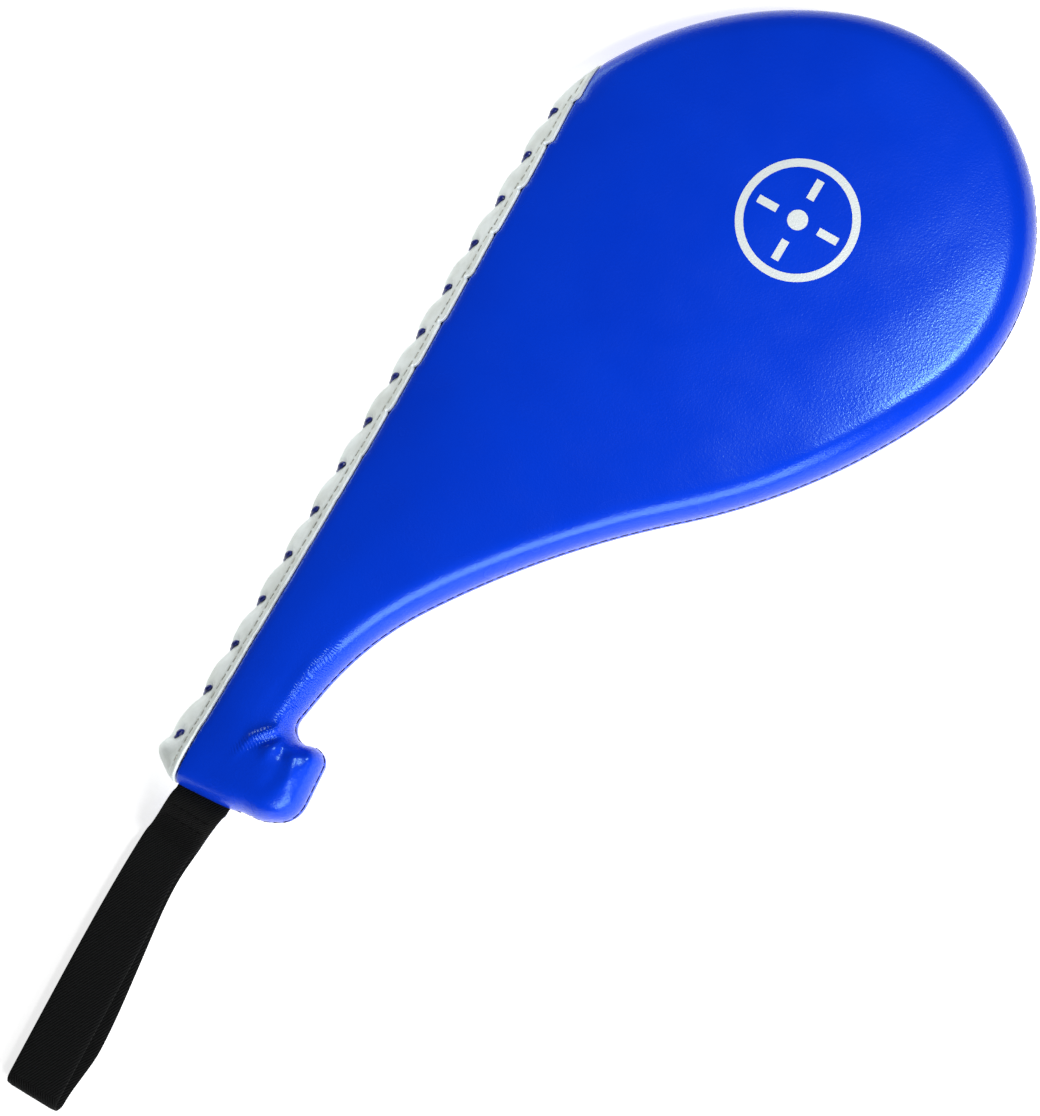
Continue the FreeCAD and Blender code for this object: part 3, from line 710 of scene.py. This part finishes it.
FINISH = {
    "blue_leather": blue_leather(),
    "white_leather": white_leather(),
    "lace_cord": lace_cord(),
    "white_thread": thread("white_thread", (0.60, 0.62, 0.56)),
    "blue_thread": thread("blue_thread", (0.006, 0.012, 0.060)),
    "white_print": white_print(),
    "grey_foam": grey_foam(),
    "plate_plastic": plate_plastic(),
    "core_wood": core_wood(),
    "rivet_metal": rivet_metal(),
    "black_webbing": webbing(),
    "black_thread": thread("black_thread", (0.003, 0.003, 0.0035)),
}


def finished(piece, replaced, body="paddle"):
    """Rides a piece on its body and hides the CAD nodes it stands for."""
    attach(piece, body)
    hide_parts(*replaced)
    return piece


# --- cover panels and lacing strips --------------------------------------------------

EDGE_ROWS = (-3.0, -2.0, -1.3, -0.8, -0.45, -0.2, 0.0, 0.12, 0.3, 0.55, 0.9, 1.35,
             1.75, 2.0, 2.2, 2.4, 2.65, 3.1, 3.8, 4.8, 6.0)
END_DRAWN, END_PULL, END_HALF = [-127 - 47j, -131 - 38j], 1.3 + 0.9j, 6.5
STRIP_LIFT, STRIP_ROLL, SEAM_DROP = 0.55, 0.7, 1.4
STITCH_IN, STITCH_GROOVE, GROOVE_HALF = 2.2, 0.22, 0.45
PANEL_UNDER = 1.6
PANEL_DROP, PANEL_DROP_WIDE = 1.9, 0.9
PINCH, PINCH_HALF, PUFF = 1.2, 3.6, 0.7
LACED_DRAWN = 0.9
# The strip's inner edge: waves with their mean, growth and turning point, stronger beside
# the handle and strongest at its end, and small cuts that fade towards the blade.
WIDEN_HALF = 3.0
WAVE_RISE, WAVE_TURN, WAVE_MEAN = 0.75, 0.84, 0.3
WAVE_LEAST, WAVE_HANDLE, WAVE_END = 0.2, 0.8, 1.1
NICK_DEEP, NICK_HALF, NICK_REACH = 1.1, 0.7, 1.1
NICK_FADE = 0.85
# Round each lace hole: a dimple, a raised lip and one short crease.
DIMPLE_DEEP, DIMPLE_HALF = 0.9, 1.5
LIP_HIGH, LIP_AT, LIP_HALF = 0.28, 3.0, 1.3
CREASE_DEEP, CREASE_AT, CREASE_TURN = 0.14, 1.5 + 3.2j, 0.35
CREASE_HALF, CREASE_HALF_LONG = 1.1, 3.0


def strip_reach(along):
    """How far inside the laced edge the strip ends, before its small waves."""
    return STRIP_REACH + 2.6 * ramp(along, 281, 291)


def gather(along):
    """Waves of the strip's inner edge: it steps out after each hole and draws back."""
    phase = np.mod(along - LACE_FIRST + NICK_BEFORE, LACE_PITCH) / LACE_PITCH
    strength = (WAVE_LEAST + WAVE_HANDLE * (1 - ramp(along, 90, 170))
                + WAVE_END * (1 - ramp(along, 5, 30)))
    return strength * (WAVE_RISE * phase * (1 - ramp(phase, WAVE_TURN, 1.0)) - WAVE_MEAN)


def from_nearest(along, first):
    """Distance along the edge from the nearest of the places one pitch apart."""
    return np.mod(along - first + LACE_PITCH / 2, LACE_PITCH) - LACE_PITCH / 2


def nick(along):
    """Small cuts in the strip's inner edge, each just before the edge steps out."""
    strength = 1 - NICK_FADE * ramp(along, 110, 170)
    return -NICK_DEEP * strength * bell(from_nearest(along, LACE_FIRST - NICK_BEFORE), NICK_HALF)


def drawn_by_lace(points):
    """Outward shift of the laced edge: in under the lace, out between the holes."""
    local = laced(points)
    span = ramp(local.real, -22, -8) * (1 - ramp(local.real, 276, 286))
    gap = from_nearest(local.real, LACE_FIRST + LACE_SLANT / 2)
    puff = PUFF * np.cos(gap / LACE_PITCH * math.pi) ** 2
    shift = PUFF - puff - PINCH * bell(gap, PINCH_HALF) - LACED_DRAWN
    return shift * span * (1 - ramp(local.imag, 1.0, 8.5))


def relief(points, face):
    """Height of the strip or panel over the base surface from the strip's own features."""
    local = laced(points)
    total = np.zeros(points.shape)
    for k in range(LACE_COUNT):
        at = LACE_FIRST + k * LACE_PITCH + (0 if face > 0 else LACE_SLANT)
        from_hole = local - (at + 1j * HOLE_INSIDE)
        gap = np.abs(from_hole)
        crease = (from_hole - CREASE_AT) * cmath.exp(1j * CREASE_TURN)
        total += LIP_HIGH * bell(gap - LIP_AT, LIP_HALF) - DIMPLE_DEEP * bell(gap, DIMPLE_HALF)
        total -= CREASE_DEEP * bell(crease.real, CREASE_HALF) * bell(crease.imag, CREASE_HALF_LONG)
    return total * near_lacing(points)


def cut_cover(face):
    """The whole face as a bmesh, with extra rows of edges along the strip's inner edge."""
    mesh = bmesh.new()
    verts = [mesh.verts.new(place) for place in cover_surface(face)]
    for plan_face in PLAN_FACES:
        mesh.faces.new([verts[v] for v in (plan_face if face > 0 else plan_face[::-1])])
    across = 1j * LACED["heading"]
    for row in EDGE_ROWS:
        local = laced(plan_of(mesh))
        near = (np.abs(local.imag - STRIP_REACH) < 12) & (local.real > -70) & (local.real < 310)
        mesh.verts.ensure_lookup_table()
        faces = {f for i in np.flatnonzero(near) for f in mesh.verts[i].link_faces}
        edges = {e for f in faces for e in f.edges}
        corners = {v for f in faces for v in f.verts}
        start = from_laced(0.0, STRIP_REACH - row)
        bmesh.ops.bisect_plane(mesh, geom=[*corners, *edges, *faces], dist=1e-4,
                               plane_co=(start.real, start.imag, 0),
                               plane_no=(across.real, across.imag, 0))
    for vert in mesh.verts:
        vert.index = -1
    mesh.verts.index_update()
    return mesh


def draw_in(plan):
    """Plan points with the end's lower corner drawn in a little, beside the strap."""
    gap, _ = line_distance(plan, END_DRAWN)
    return plan + END_PULL * bell(gap, END_HALF)


def plan_of(mesh):
    return np.array([complex(v.co.x, v.co.y) for v in mesh.verts])


def shaped(mesh, face, is_strip):
    """Moves a cut face's vertices to the finished surface of the strip or the panel."""
    plan = plan_of(mesh)
    inside = depth(plan)
    z = np.array([v.co.z for v in mesh.verts])
    z = np.where(inside > 4.3, height(plan, face), z)
    local = laced(plan)
    beyond = STRIP_REACH - local.imag
    if is_strip:
        roll = np.clip(1 - beyond / STRIP_ROLL, 0, 1)
        lift = -SEAM_DROP + (STRIP_LIFT + SEAM_DROP) * np.sqrt(1 - roll ** 2)
        lift -= STITCH_GROOVE * bell(beyond - STITCH_IN, GROOVE_HALF)
    else:
        lift = -PANEL_DROP * ramp(beyond, -PANEL_DROP_WIDE, 0.0)
    on_lacing = beside_lacing(local) & (beyond > -20)
    lift = np.where(on_lacing, lift, 0.0) + relief(plan, face)
    mesh.normal_update()
    normals = np.array([v.normal for v in mesh.verts])
    places = np.column_stack([plan.real, plan.imag, z]) + normals * lift[:, None]
    widen = strip_reach(local.real) - STRIP_REACH + gather(local.real)
    fade = bell(beyond, WIDEN_HALF) * ramp(inside, 1.0, 5.0) * near_lacing(plan)
    if is_strip:
        widen = widen + nick(local.real) * bell(beyond, NICK_REACH)
    slide = widen * fade - drawn_by_lace(plan)
    slide = np.where(on_lacing, slide, 0.0) * 1j * LACED["heading"]
    slide = slide + draw_in(plan) - plan
    places[:, 0] += slide.real
    places[:, 1] += slide.imag
    for vert, place in zip(mesh.verts, places):
        vert.co = place * MM


def cover_piece(name, face, is_strip, slot, replaced):
    """The strip or the panel of one face, cut from the whole cover and shaped."""
    mesh = cut_cover(face)
    centres = [item.calc_center_median() for item in mesh.faces]
    local = laced(np.array([complex(centre.x, centre.y) for centre in centres]))
    if is_strip:
        unwanted = ~(beside_lacing(local) & (local.imag < STRIP_REACH))
    else:
        unwanted = beside_lacing(local) & (local.imag < STRIP_REACH - PANEL_UNDER)
    doomed = [item for item, gone in zip(mesh.faces, unwanted) if gone]
    bmesh.ops.delete(mesh, geom=doomed, context="FACES")
    mesh.verts.index_update()
    shaped(mesh, face, is_strip)
    data = bpy.data.meshes.new(name)
    mesh.to_mesh(data)
    mesh.free()
    data.shade_smooth()
    data.materials.append(FINISH[slot])
    return finished(linked(name, data), replaced)


for face, side in ((1, "front"), (-1, "back")):
    panel = cover_piece(side + "_cover", face, False, "blue_leather", [side + "_panel"])
    cover_piece(side + "_strip", face, True, "white_leather", [side + "_lacing_strip"])


# --- foam pads inside the cover ------------------------------------------------------

COVER_THICK = 1.9
PAD_EDGE = 1.4
PAD_LACED_EDGE = 10.9
PAD_THINNEST = 0.6


def foam_pad(face, side):
    """A closed pad just under one face of the cover, hollow over the handle's stiffeners."""
    low, high = cad_box(side + "_foam_pad")
    rivet_low, rivet_high = cad_box("handle_rivets")
    core_end = cad_box("handle_core_" + side)[1].x + 1.0
    seat = low.z if face > 0 else high.z
    over_rivets = rivet_high.z + 0.3 if face > 0 else rivet_low.z - 0.3
    mesh = bmesh.new()
    last_row = len(RIM_INSETS) - 1
    verts = {}
    for plan_face in PLAN_FACES:
        if any(0 <= PLAN_ROWS[v] < last_row for v in plan_face):
            continue
        for v in plan_face:
            if v not in verts:
                verts[v] = mesh.verts.new((PLAN[v].real, PLAN[v].imag, 0))
        mesh.faces.new([verts[v] for v in plan_face])
    start = from_laced(0.0, PAD_LACED_EDGE)
    across = 1j * LACED["heading"]
    bmesh.ops.bisect_plane(mesh, geom=[*mesh.verts, *mesh.edges, *mesh.faces], dist=1e-4,
                           plane_co=(start.real, start.imag, 0),
                           plane_no=(across.real, across.imag, 0), clear_inner=True)
    plan = plan_of(mesh)
    over_core = (plan.real < core_end) & (depth(plan) > 5.8)
    bottom = np.where(over_core, over_rivets, seat)
    skin = height(plan, face) - face * (COVER_THICK + PAD_EDGE * (1 - ramp(depth(plan), 4, 9)))
    top = face * np.maximum(face * skin, face * bottom + PAD_THINNEST)
    mesh.verts.index_update()
    count = len(mesh.verts)
    places = np.concatenate([np.column_stack([plan.real, plan.imag, z]) for z in (top, bottom)])
    faces = [[v.index for v in f.verts] for f in mesh.faces]
    walls = [[v.index for v in e.verts] for e in mesh.edges if len(e.link_faces) == 1]
    mesh.free()
    faces += [[v + count for v in reversed(f)] for f in faces]
    faces += [[a, b, b + count, a + count] for a, b in walls]
    piece = new_piece(side + "_pad", places, faces, FINISH["grey_foam"], smooth=False)
    tidy = bmesh.new()
    tidy.from_mesh(piece.data)
    bmesh.ops.recalc_face_normals(tidy, faces=tidy.faces)
    tidy.to_mesh(piece.data)
    tidy.free()
    finished(piece, [side + "_foam_pad"])


foam_pad(1, "front")
foam_pad(-1, "back")

# --- lace ----------------------------------------------------------------------------

LACE_RADIUS = 1.15
# Along, inside and above the surface, and the share of the radius where it's squeezed.
LACE_OVER = (
    (0.0, HOLE_INSIDE - 0.2, -1.8, 0.8), (0.1, HOLE_INSIDE - 0.4, 0.7, 1.0),
    (1.3, 3.0, 1.0, 1.0), (2.6, 2.1, 0.7, 0.75), (3.7, 0.8, 0.5, 0.6),
)


def edge_point(along, inside, face, lift):
    """A point over the strip's surface, beside the laced edge."""
    steps = np.array([from_laced(along, max(inside + s, 0.001)) for s in (-0.05, 0.0, 0.05)])
    low, here, high = height(steps, face)
    slope = (high - low) / 0.1
    length = math.hypot(slope, 1.0)
    moved = inside - face * slope / length * lift - drawn_by_lace(steps)[1]
    plan = from_laced(along, moved)
    return plan.real, plan.imag, here + face * lift / length


def inner_point(along, inside, z):
    plan = from_laced(along, inside)
    return plan.real, plan.imag, z, 1.0


def lace_route():
    """Round and round the laced edge: out of a front hole, over, and in at a back hole."""
    points = []
    for k in range(LACE_COUNT):
        at = LACE_FIRST + k * LACE_PITCH
        points += [(*edge_point(at + step, inside, 1, lift), share)
                   for step, inside, lift, share in LACE_OVER]
        points += [(*edge_point(at + LACE_SLANT - step, inside, -1, lift), share)
                   for step, inside, lift, share in reversed(LACE_OVER)]
        if k < LACE_COUNT - 1:
            points.append(inner_point(at + LACE_SLANT + 1.5, 6.6, MIDDLE - 7.0))
            points.append(inner_point(at + LACE_SLANT + 6.0, 8.0, MIDDLE))
            points.append(inner_point(at + LACE_PITCH - 1.5, 6.6, MIDDLE + 7.0))
    return points


def tube(name, points, radius, material):
    """A round tube along a smooth spline near the points: x, y, z and share of the radius."""
    curve = bpy.data.curves.new(name + "_route", "CURVE")
    curve.dimensions = "3D"
    curve.bevel_depth = radius * MM
    curve.bevel_resolution = 4
    curve.use_fill_caps = True
    spline = curve.splines.new("NURBS")
    spline.points.add(len(points) - 1)
    for place, point in zip(points, spline.points):
        point.co = (*(np.array(place[:3]) * MM), 1)
        point.radius = place[3]
    spline.order_u = 3
    spline.use_endpoint_u = True
    spline.resolution_u = 5
    carrier = linked(name + "_route", curve)
    bpy.context.view_layer.update()
    mesh = bpy.data.meshes.new_from_object(
        carrier.evaluated_get(bpy.context.evaluated_depsgraph_get()))
    bpy.data.objects.remove(carrier)
    mesh.shade_smooth()
    mesh.materials.clear()
    mesh.materials.append(material)
    return linked(name, mesh)


finished(tube("lacing", lace_route(), LACE_RADIUS, FINISH["lace_cord"]),
         ["lace"])

# --- stitching -----------------------------------------------------------------------

STRIP_STITCH = {"pitch": 4.0, "length": 2.9, "radius": 0.27}
SEAM_STITCH = {"pitch": 4.2, "length": 3.1, "radius": 0.45}
TACK_STITCH = {"pitch": 3.6, "length": 2.6, "radius": 0.34}


def capsule(length, radius, around=8, rings=3):
    """Vertices and faces of a round-ended stitch along x, pressed a little flat."""
    profile = []
    for end in (-1, 1):
        for ring in range(rings):
            angle = math.pi / 2 * (ring + 0.5) / rings
            bulge = math.sin(angle) if end < 0 else math.cos(angle)
            reach = math.cos(angle) if end < 0 else math.sin(angle)
            profile.append((end * (length / 2 - radius + radius * reach), radius * bulge))
    circle = [2 * math.pi * i / around for i in range(around)]
    verts = [(x, r * math.cos(turn), 0.8 * r * math.sin(turn))
             for x, r in profile for turn in circle]
    faces = bands(len(profile), around)
    faces.append(tuple(reversed(range(around))))
    faces.append(tuple(range((len(profile) - 1) * around, len(profile) * around)))
    return np.array(verts), faces


def stitches(name, spots, size, slot, replaced, body="paddle"):
    """One piece of many stitches, each at a place, along a direction, facing a normal."""
    verts, faces = capsule(size["length"], size["radius"])
    all_verts, all_faces = [], []
    for place, direction, normal in spots:
        x = np.array(direction) / np.linalg.norm(direction)
        z = np.array(normal) - x * np.dot(normal, x)
        z /= np.linalg.norm(z)
        y = np.cross(z, x)
        base = len(all_verts) * len(verts)
        all_faces += [tuple(base + v for v in face) for face in faces]
        all_verts.append(np.array(place) + verts @ np.array([x, y, z]))
    piece = new_piece(name, np.concatenate(all_verts), all_faces, FINISH[slot])
    finished(piece, replaced, body)


def strip_spots(face):
    """Places of the stitches that hold the strip's inner edge."""
    spots = []
    for along in np.arange(-27.0, 286.0, STRIP_STITCH["pitch"]):
        ends = along + np.array([-0.5, 0.5]) * STRIP_STITCH["length"]
        inside = STRIP_REACH - STITCH_IN
        widen = strip_reach(along) - STRIP_REACH + gather(along)
        fade = bell(STITCH_IN, WIDEN_HALF)
        plan = from_laced(np.array([along, *ends]), inside)
        if depth(plan).min() < 1.0:
            continue
        slide = widen * fade * ramp(depth(plan), 1.0, 5.0) - drawn_by_lace(plan)
        z = height(plan, face)
        tilt = height(plan + 0.1j * LACED["heading"], face) - z
        across = 1j * LACED["heading"]
        normal = np.array([-across.real * tilt[0], -across.imag * tilt[0], 0.1])
        normal *= face / np.linalg.norm(normal)
        places = plan + slide * across
        start = np.array([places[1].real, places[1].imag, z[1]])
        end = np.array([places[2].real, places[2].imag, z[2]])
        sunk = STRIP_LIFT - STITCH_GROOVE + 0.08
        spots.append(((start + end) / 2 + normal * sunk, end - start, normal))
    return spots


def seam_spots():
    """Places of the stitches in the middle seam, from the head round to the strap."""
    points, outward = outline_columns(0.25)
    walked = np.concatenate([[0], np.cumsum(np.abs(np.diff(points)))])
    spots = []
    for distance in np.arange(1.0, walked[-1], SEAM_STITCH["pitch"]):
        i = int(np.searchsorted(walked, distance))
        here = np.array([points[i]])
        local = laced(here)[0]
        strap = (here[0] - STRAP_START) * np.conj(STRAP_OUT)
        if local.imag < STRIP_REACH + 1 and -40 < local.real < 300:
            continue
        if abs(strap.imag) < WEB_WIDE / 2 + 1.5 and abs(strap.real) < 12:
            continue
        place = draw_in(here)[0] - outward[i] * 0.25
        heading = 1j * outward[i]
        spots.append(((place.real, place.imag, MIDDLE), (heading.real, heading.imag, 0),
                      (outward[i].real, outward[i].imag, 0)))
    return spots


# --- wrist strap ---------------------------------------------------------------------

WEB_LOW, WEB_HIGH = cad_box("strap_lower_near")
WEB_THICK = WEB_HIGH.z - WEB_LOW.z
LOWER_Z = (WEB_LOW.z + WEB_HIGH.z) / 2
UPPER_Z = sum(corner.z for corner in cad_box("strap_upper_near")) / 2
LOOP_Z = (LOWER_Z + UPPER_Z) / 2
LAYER_GAP = (UPPER_Z - LOWER_Z) / 2
SWING, OPEN = JOINT_AT["strap_swing"], JOINT_AT["loop_open"]
STRAP_START = complex(SWING.x, SWING.y)
STRAP_OUT = complex(OPEN.x, OPEN.y) - STRAP_START
LOOP_NEAR = abs(STRAP_OUT)
STRAP_OUT /= LOOP_NEAR
STRAP_SIDE = -1j * STRAP_OUT
LOOP_STEP = abs(complex(*JOINT_AT["lower_middle_bend"][:2]) - STRAP_START) - LOOP_NEAR
LOOP_END = LOOP_NEAR + 3 * LOOP_STEP
WEB_WIDE = 22.0
TAIL_END = -26.0
ROOT_SPLIT = 12.0
FOLD_REACH = 3.6
ROUTE_STEP = 0.75
BOW, FAN, DROP_SHIFT = 2.6, 3.8, 2.4
FAN_FROM, FAN_FULL, FAN_CLOSE = 0.33, 0.8, 0.7
SELVEDGE = 0.22
CUP_AT, CUP_REACH, CUP_SHARE = 30.0, 20.0, 0.09


def strap_point(out, side, z):
    plan = STRAP_START + out * STRAP_OUT + side * STRAP_SIDE
    return plan.real, plan.imag, z


def layer_route(layer, start, end):
    """Centre line (out, height, side) of the upper (1) or lower (-1) layer of webbing."""
    count = max(2, int(round((end - start) / ROUTE_STEP)) + 1)
    out = np.linspace(start, end, count)
    middle = MIDDLE + (LOOP_Z - MIDDLE) * ramp(out, 0.5, LOOP_NEAR - 4)
    slope = np.gradient(middle, out)
    half = 0.5 * WEB_THICK + 0.03
    spread = half + (LAYER_GAP - half) * ramp(out, 9.0, LOOP_NEAR)
    length = np.sqrt(1 + slope ** 2)
    return np.column_stack([out - layer * spread * slope / length,
                            middle + layer * spread / length, side_shift(layer, out)])


def side_shift(layer, out):
    """Sideways bow of the loop, and the lower layer fanning out from under the upper."""
    share = np.clip(out / LOOP_END, 0, 1)
    bow = BOW * np.sin(math.pi * share ** 0.6) + DROP_SHIFT * ramp(out, 1.0, 20.0)
    fan = FAN * ramp(share, FAN_FROM, FAN_FULL) * (1 - FAN_CLOSE * ramp(share, FAN_FULL, 1.0))
    return bow - (fan if layer < 0 else 0.0)


def fold_route():
    """The lower layer's last length and the turn back up to the upper layer."""
    flat = layer_route(-1, LOOP_END - LOOP_STEP / 2, LOOP_END - 1.0)
    angle = np.radians(np.linspace(-90, 90, 25)[1:])
    low, high = side_shift(-1, LOOP_END), side_shift(1, LOOP_END)
    turn = np.column_stack([LOOP_END - 1.0 + FOLD_REACH * np.cos(angle),
                            LOOP_Z + LAYER_GAP * np.sin(angle),
                            low + (high - low) * ramp(angle, -1.57, 1.57)])
    return np.concatenate([flat, turn])


def ribbon(name, route, first_length):
    """Webbing swept along a route, with rounded selvedges and metre coordinates."""
    tangent = np.gradient(route[:, :2], axis=0)
    tangent /= np.linalg.norm(tangent, axis=1)[:, None]
    normal = np.column_stack([-tangent[:, 1], tangent[:, 0]])
    steps = np.linalg.norm(np.diff(route[:, :2], axis=0), axis=1)
    lengths = np.concatenate([[0], np.cumsum(steps)])
    half, thick = WEB_WIDE / 2, WEB_THICK / 2
    share = np.linspace(-1, 1, 13)
    across = half * share
    edge = thick * (1 - 0.45 * np.clip((np.abs(share) - 0.86) / 0.14, 0, 1) ** 2)
    ring = ([(s, t) for s, t in zip(across, edge)]
            + [(half + SELVEDGE, 0.0)]
            + [(s, -t) for s, t in zip(across[::-1], edge[::-1])]
            + [(-half - SELVEDGE, 0.0)])
    verts, tape = [], []
    for (out, z, side), (n_out, n_z), length in zip(route, normal, lengths):
        cupped = CUP_SHARE * bell(out - CUP_AT, CUP_REACH)
        for s, t in ring:
            s_cupped = s * (1 - cupped) + half * cupped
            verts.append(strap_point(out + n_out * t, side + s_cupped, z + n_z * t))
            tape.append(((s + half) * MM, (first_length + length) * MM))
    piece = new_piece(name, verts, bands(len(route), len(ring)), FINISH["black_webbing"])
    layer = piece.data.uv_layers.new(name="tape")
    for loop in piece.data.loops:
        layer.data[loop.index].uv = tape[loop.vertex_index]
    return piece


def bend(piece):
    """Bakes the piece's transform into its mesh, leaving it in place."""
    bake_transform(piece)


def split_at(step):
    """Where one length of webbing hands over to the next, halfway between two hinges."""
    return LOOP_NEAR + (step - 0.5) * LOOP_STEP


for layer, side, level in ((1, "upper", UPPER_Z), (-1, "lower", LOWER_Z)):
    root = ribbon("strap_root_" + side, layer_route(layer, TAIL_END, ROOT_SPLIT), TAIL_END)
    bend(root)
    starts = [ROOT_SPLIT, split_at(1), split_at(2), split_at(3)]
    lengths = ("near", "middle", "far")
    for step in range(3):
        web = ribbon("strap_%s_%d" % (side, step + 1),
                     layer_route(layer, starts[step], starts[step + 1]), starts[step])
        bend(web)
        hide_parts("strap_%s_%s" % (side, lengths[step]))
    if layer > 0:
        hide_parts("strap_root", "strap_tail")
        last = ribbon("strap_upper_4", layer_route(1, starts[3], LOOP_END - 1.0), starts[3])
        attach(last, "loop_upper_far")

fold = ribbon("strap_lower_4", fold_route(), split_at(3))
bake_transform(fold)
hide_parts("strap_fold")

stitches("front_strip_thread", strip_spots(1), STRIP_STITCH, "white_thread",
         ["front_strip_stitching"])
stitches("back_strip_thread", strip_spots(-1), STRIP_STITCH, "white_thread",
         ["back_strip_stitching"])
stitches("seam_thread", seam_spots(), SEAM_STITCH, "blue_thread", ["edge_seam_stitching"])


def tack_spots():
    """Two rows of stitches across the strap where its two layers are sewn together."""
    spots = []
    route = layer_route(1, 3.0, 12.0)
    for index in (3, 9):
        out, z, side = route[index]
        slope = (route[index + 1] - route[index - 1])[:2]
        slope /= np.linalg.norm(slope)
        normal = Vector(strap_point(-slope[1], 0, slope[0])) - Vector(strap_point(0, 0, 0))
        rise = WEB_THICK / 2 + 0.1
        for k in range(-2, 3):
            place = np.array(strap_point(out, side + k * TACK_STITCH["pitch"], z))
            direction = (STRAP_SIDE.real, STRAP_SIDE.imag, 0)
            spots.append((place + np.array(normal) * rise, direction, tuple(normal)))
    return spots


stitches("strap_tacks", tack_spots(), TACK_STITCH, "black_thread", ["strap_tack_stitching"],
         "strap_base")

# --- printed emblem ------------------------------------------------------------------

EMBLEM_RADIUS, EMBLEM_LINE = 24.0, 3.2
TICK_NEAR, TICK_FAR = 9.0, 17.5
DOT_RADIUS = 4.0
PRINT_LIFT = 0.06


def print_grid(columns, rows, plan_of_cell):
    """A grid of plan points, and its faces, from a function of two shares, 0 to 1."""
    points = [plan_of_cell(i / columns, j / rows)
              for j in range(rows + 1) for i in range(columns + 1)]
    faces = []
    for j in range(rows):
        for i in range(columns):
            a = j * (columns + 1) + i
            faces.append((a, a + 1, a + columns + 2, a + columns + 1))
    return points, faces


def emblem():
    """A plain ring with four ticks and a dot, printed on the strike face."""
    low, high = cad_box("emblem")
    centre = complex((low.x + high.x) / 2, (low.y + high.y) / 2)
    turn = LACED["heading"]
    grids = [
        print_grid(120, 3, lambda u, v: (EMBLEM_RADIUS - EMBLEM_LINE * (1 - v))
                   * cmath.exp(-2j * math.pi * u)),
        print_grid(48, 4, lambda u, v: DOT_RADIUS * max(v, 0.02) * cmath.exp(-2j * math.pi * u)),
    ]
    for quarter in range(4):
        arm = turn * 1j ** quarter
        grids.append(print_grid(8, 3, lambda u, v, arm=arm: arm * (
            TICK_NEAR + (TICK_FAR - TICK_NEAR) * u + 1j * EMBLEM_LINE * (v - 0.5))))
    plan, faces = [], []
    for points, cells in grids:
        faces += [tuple(len(plan) + v for v in cell) for cell in cells]
        plan += [centre + point for point in points]
    plan = np.array(plan)
    z = height(plan, 1) + PRINT_LIFT
    piece = new_piece("emblem_print", np.column_stack([plan.real, plan.imag, z]), faces,
                      FINISH["white_print"])
    finished(piece, ["emblem"])


emblem()

# --- CAD nodes kept inside the cover -------------------------------------------------

for node, slot in (("spine_plate", "plate_plastic"), ("handle_core_front", "core_wood"),
                   ("handle_core_back", "core_wood"), ("handle_rivets", "rivet_metal"),
                   ("strap_rivet", "rivet_metal"), ("lace_end_knots", "lace_cord")):
    mesh = frame["nodes"][node].data
    mesh.materials.clear()
    mesh.materials.append(FINISH[slot])

# --- stage ---------------------------------------------------------------------------

VIEW_TARGET = Vector((0.0134, -0.0302, 0.018))
VIEW_AZIMUTH, VIEW_ELEVATION, VIEW_ROLL = 4.0, 79.0, 41.0
VIEW_DISTANCE = 1.7
VIEW_FOCAL = 142.9
VIEW_MOVE = (0.0006, -0.0005)
FLOOR_BELOW = 0.0004
WORLD_LIGHT = 0.08
# Name, place, aim on the floor, size and watts.
LIGHTS = (
    ("top_box", (0.243, -0.150, 0.426), (0.243, -0.06), (0.125, 0.053), 1.5),
    ("side_box", (-0.16, -0.42, 0.22), (-0.10, 0.0), (0.36, 0.22), 2.3),
    ("far_fill", (-0.1, 1.0, 0.17), (0.0, 0.0), (1.0, 0.3), 4.6),
)


def add_camera():
    azimuth, elevation = math.radians(VIEW_AZIMUTH), math.radians(VIEW_ELEVATION)
    back = Vector((math.sin(azimuth) * math.cos(elevation),
                   -math.cos(azimuth) * math.cos(elevation), math.sin(elevation)))
    flat_x = (Vector((1, 0, 0)) - back * back.x).normalized()
    flat_y = back.cross(flat_x)
    roll = math.radians(VIEW_ROLL)
    right = flat_x * math.cos(roll) - flat_y * math.sin(roll)
    up = flat_x * math.sin(roll) + flat_y * math.cos(roll)
    data = bpy.data.cameras.new("camera")
    data.lens = VIEW_FOCAL
    data.sensor_width = data.sensor_height = 36.0
    data.sensor_fit = "VERTICAL"
    data.clip_end = 20.0
    camera = linked("camera", data)
    turn = Matrix((right, up, back)).transposed()
    place = VIEW_TARGET + right * VIEW_MOVE[0] + up * VIEW_MOVE[1] + back * VIEW_DISTANCE
    camera.matrix_world = Matrix.Translation(place) @ turn.to_4x4()
    bpy.context.scene.camera = camera


def add_light(name, place, aim, size, power):
    data = bpy.data.lights.new(name, "AREA")
    data.shape = "RECTANGLE"
    data.size, data.size_y = size
    data.energy = power
    light = linked(name, data)
    light.location = place
    light.rotation_euler = (Vector((*aim, 0)) - Vector(place)).to_track_quat("-Z", "Y").to_euler()


def add_floor():
    mesh = bpy.data.meshes.new("floor")
    half = 6.0
    mesh.from_pydata([(-half, -half, 0), (half, -half, 0), (half, half, 0), (-half, half, 0)],
                     [], [(0, 1, 2, 3)])
    floor = linked("floor", mesh)
    floor.location.z = -FLOOR_BELOW
    look = Shading("floor", (0.90, 0.90, 0.90), 0.9, Specular_IOR_Level=0.0,
                   Emission_Color=(1, 1, 1, 1), Emission_Strength=0.72)
    mesh.materials.append(look.material)


add_camera()
add_floor()
for light in LIGHTS:
    add_light(*light)
world = bpy.data.worlds.new("world")
world.use_nodes = True
world.node_tree.nodes["Background"].inputs[0].default_value = (1, 1, 1, 1)
world.node_tree.nodes["Background"].inputs[1].default_value = WORLD_LIGHT
bpy.context.scene.world = world
bpy.context.scene.view_settings.view_transform = "Standard"
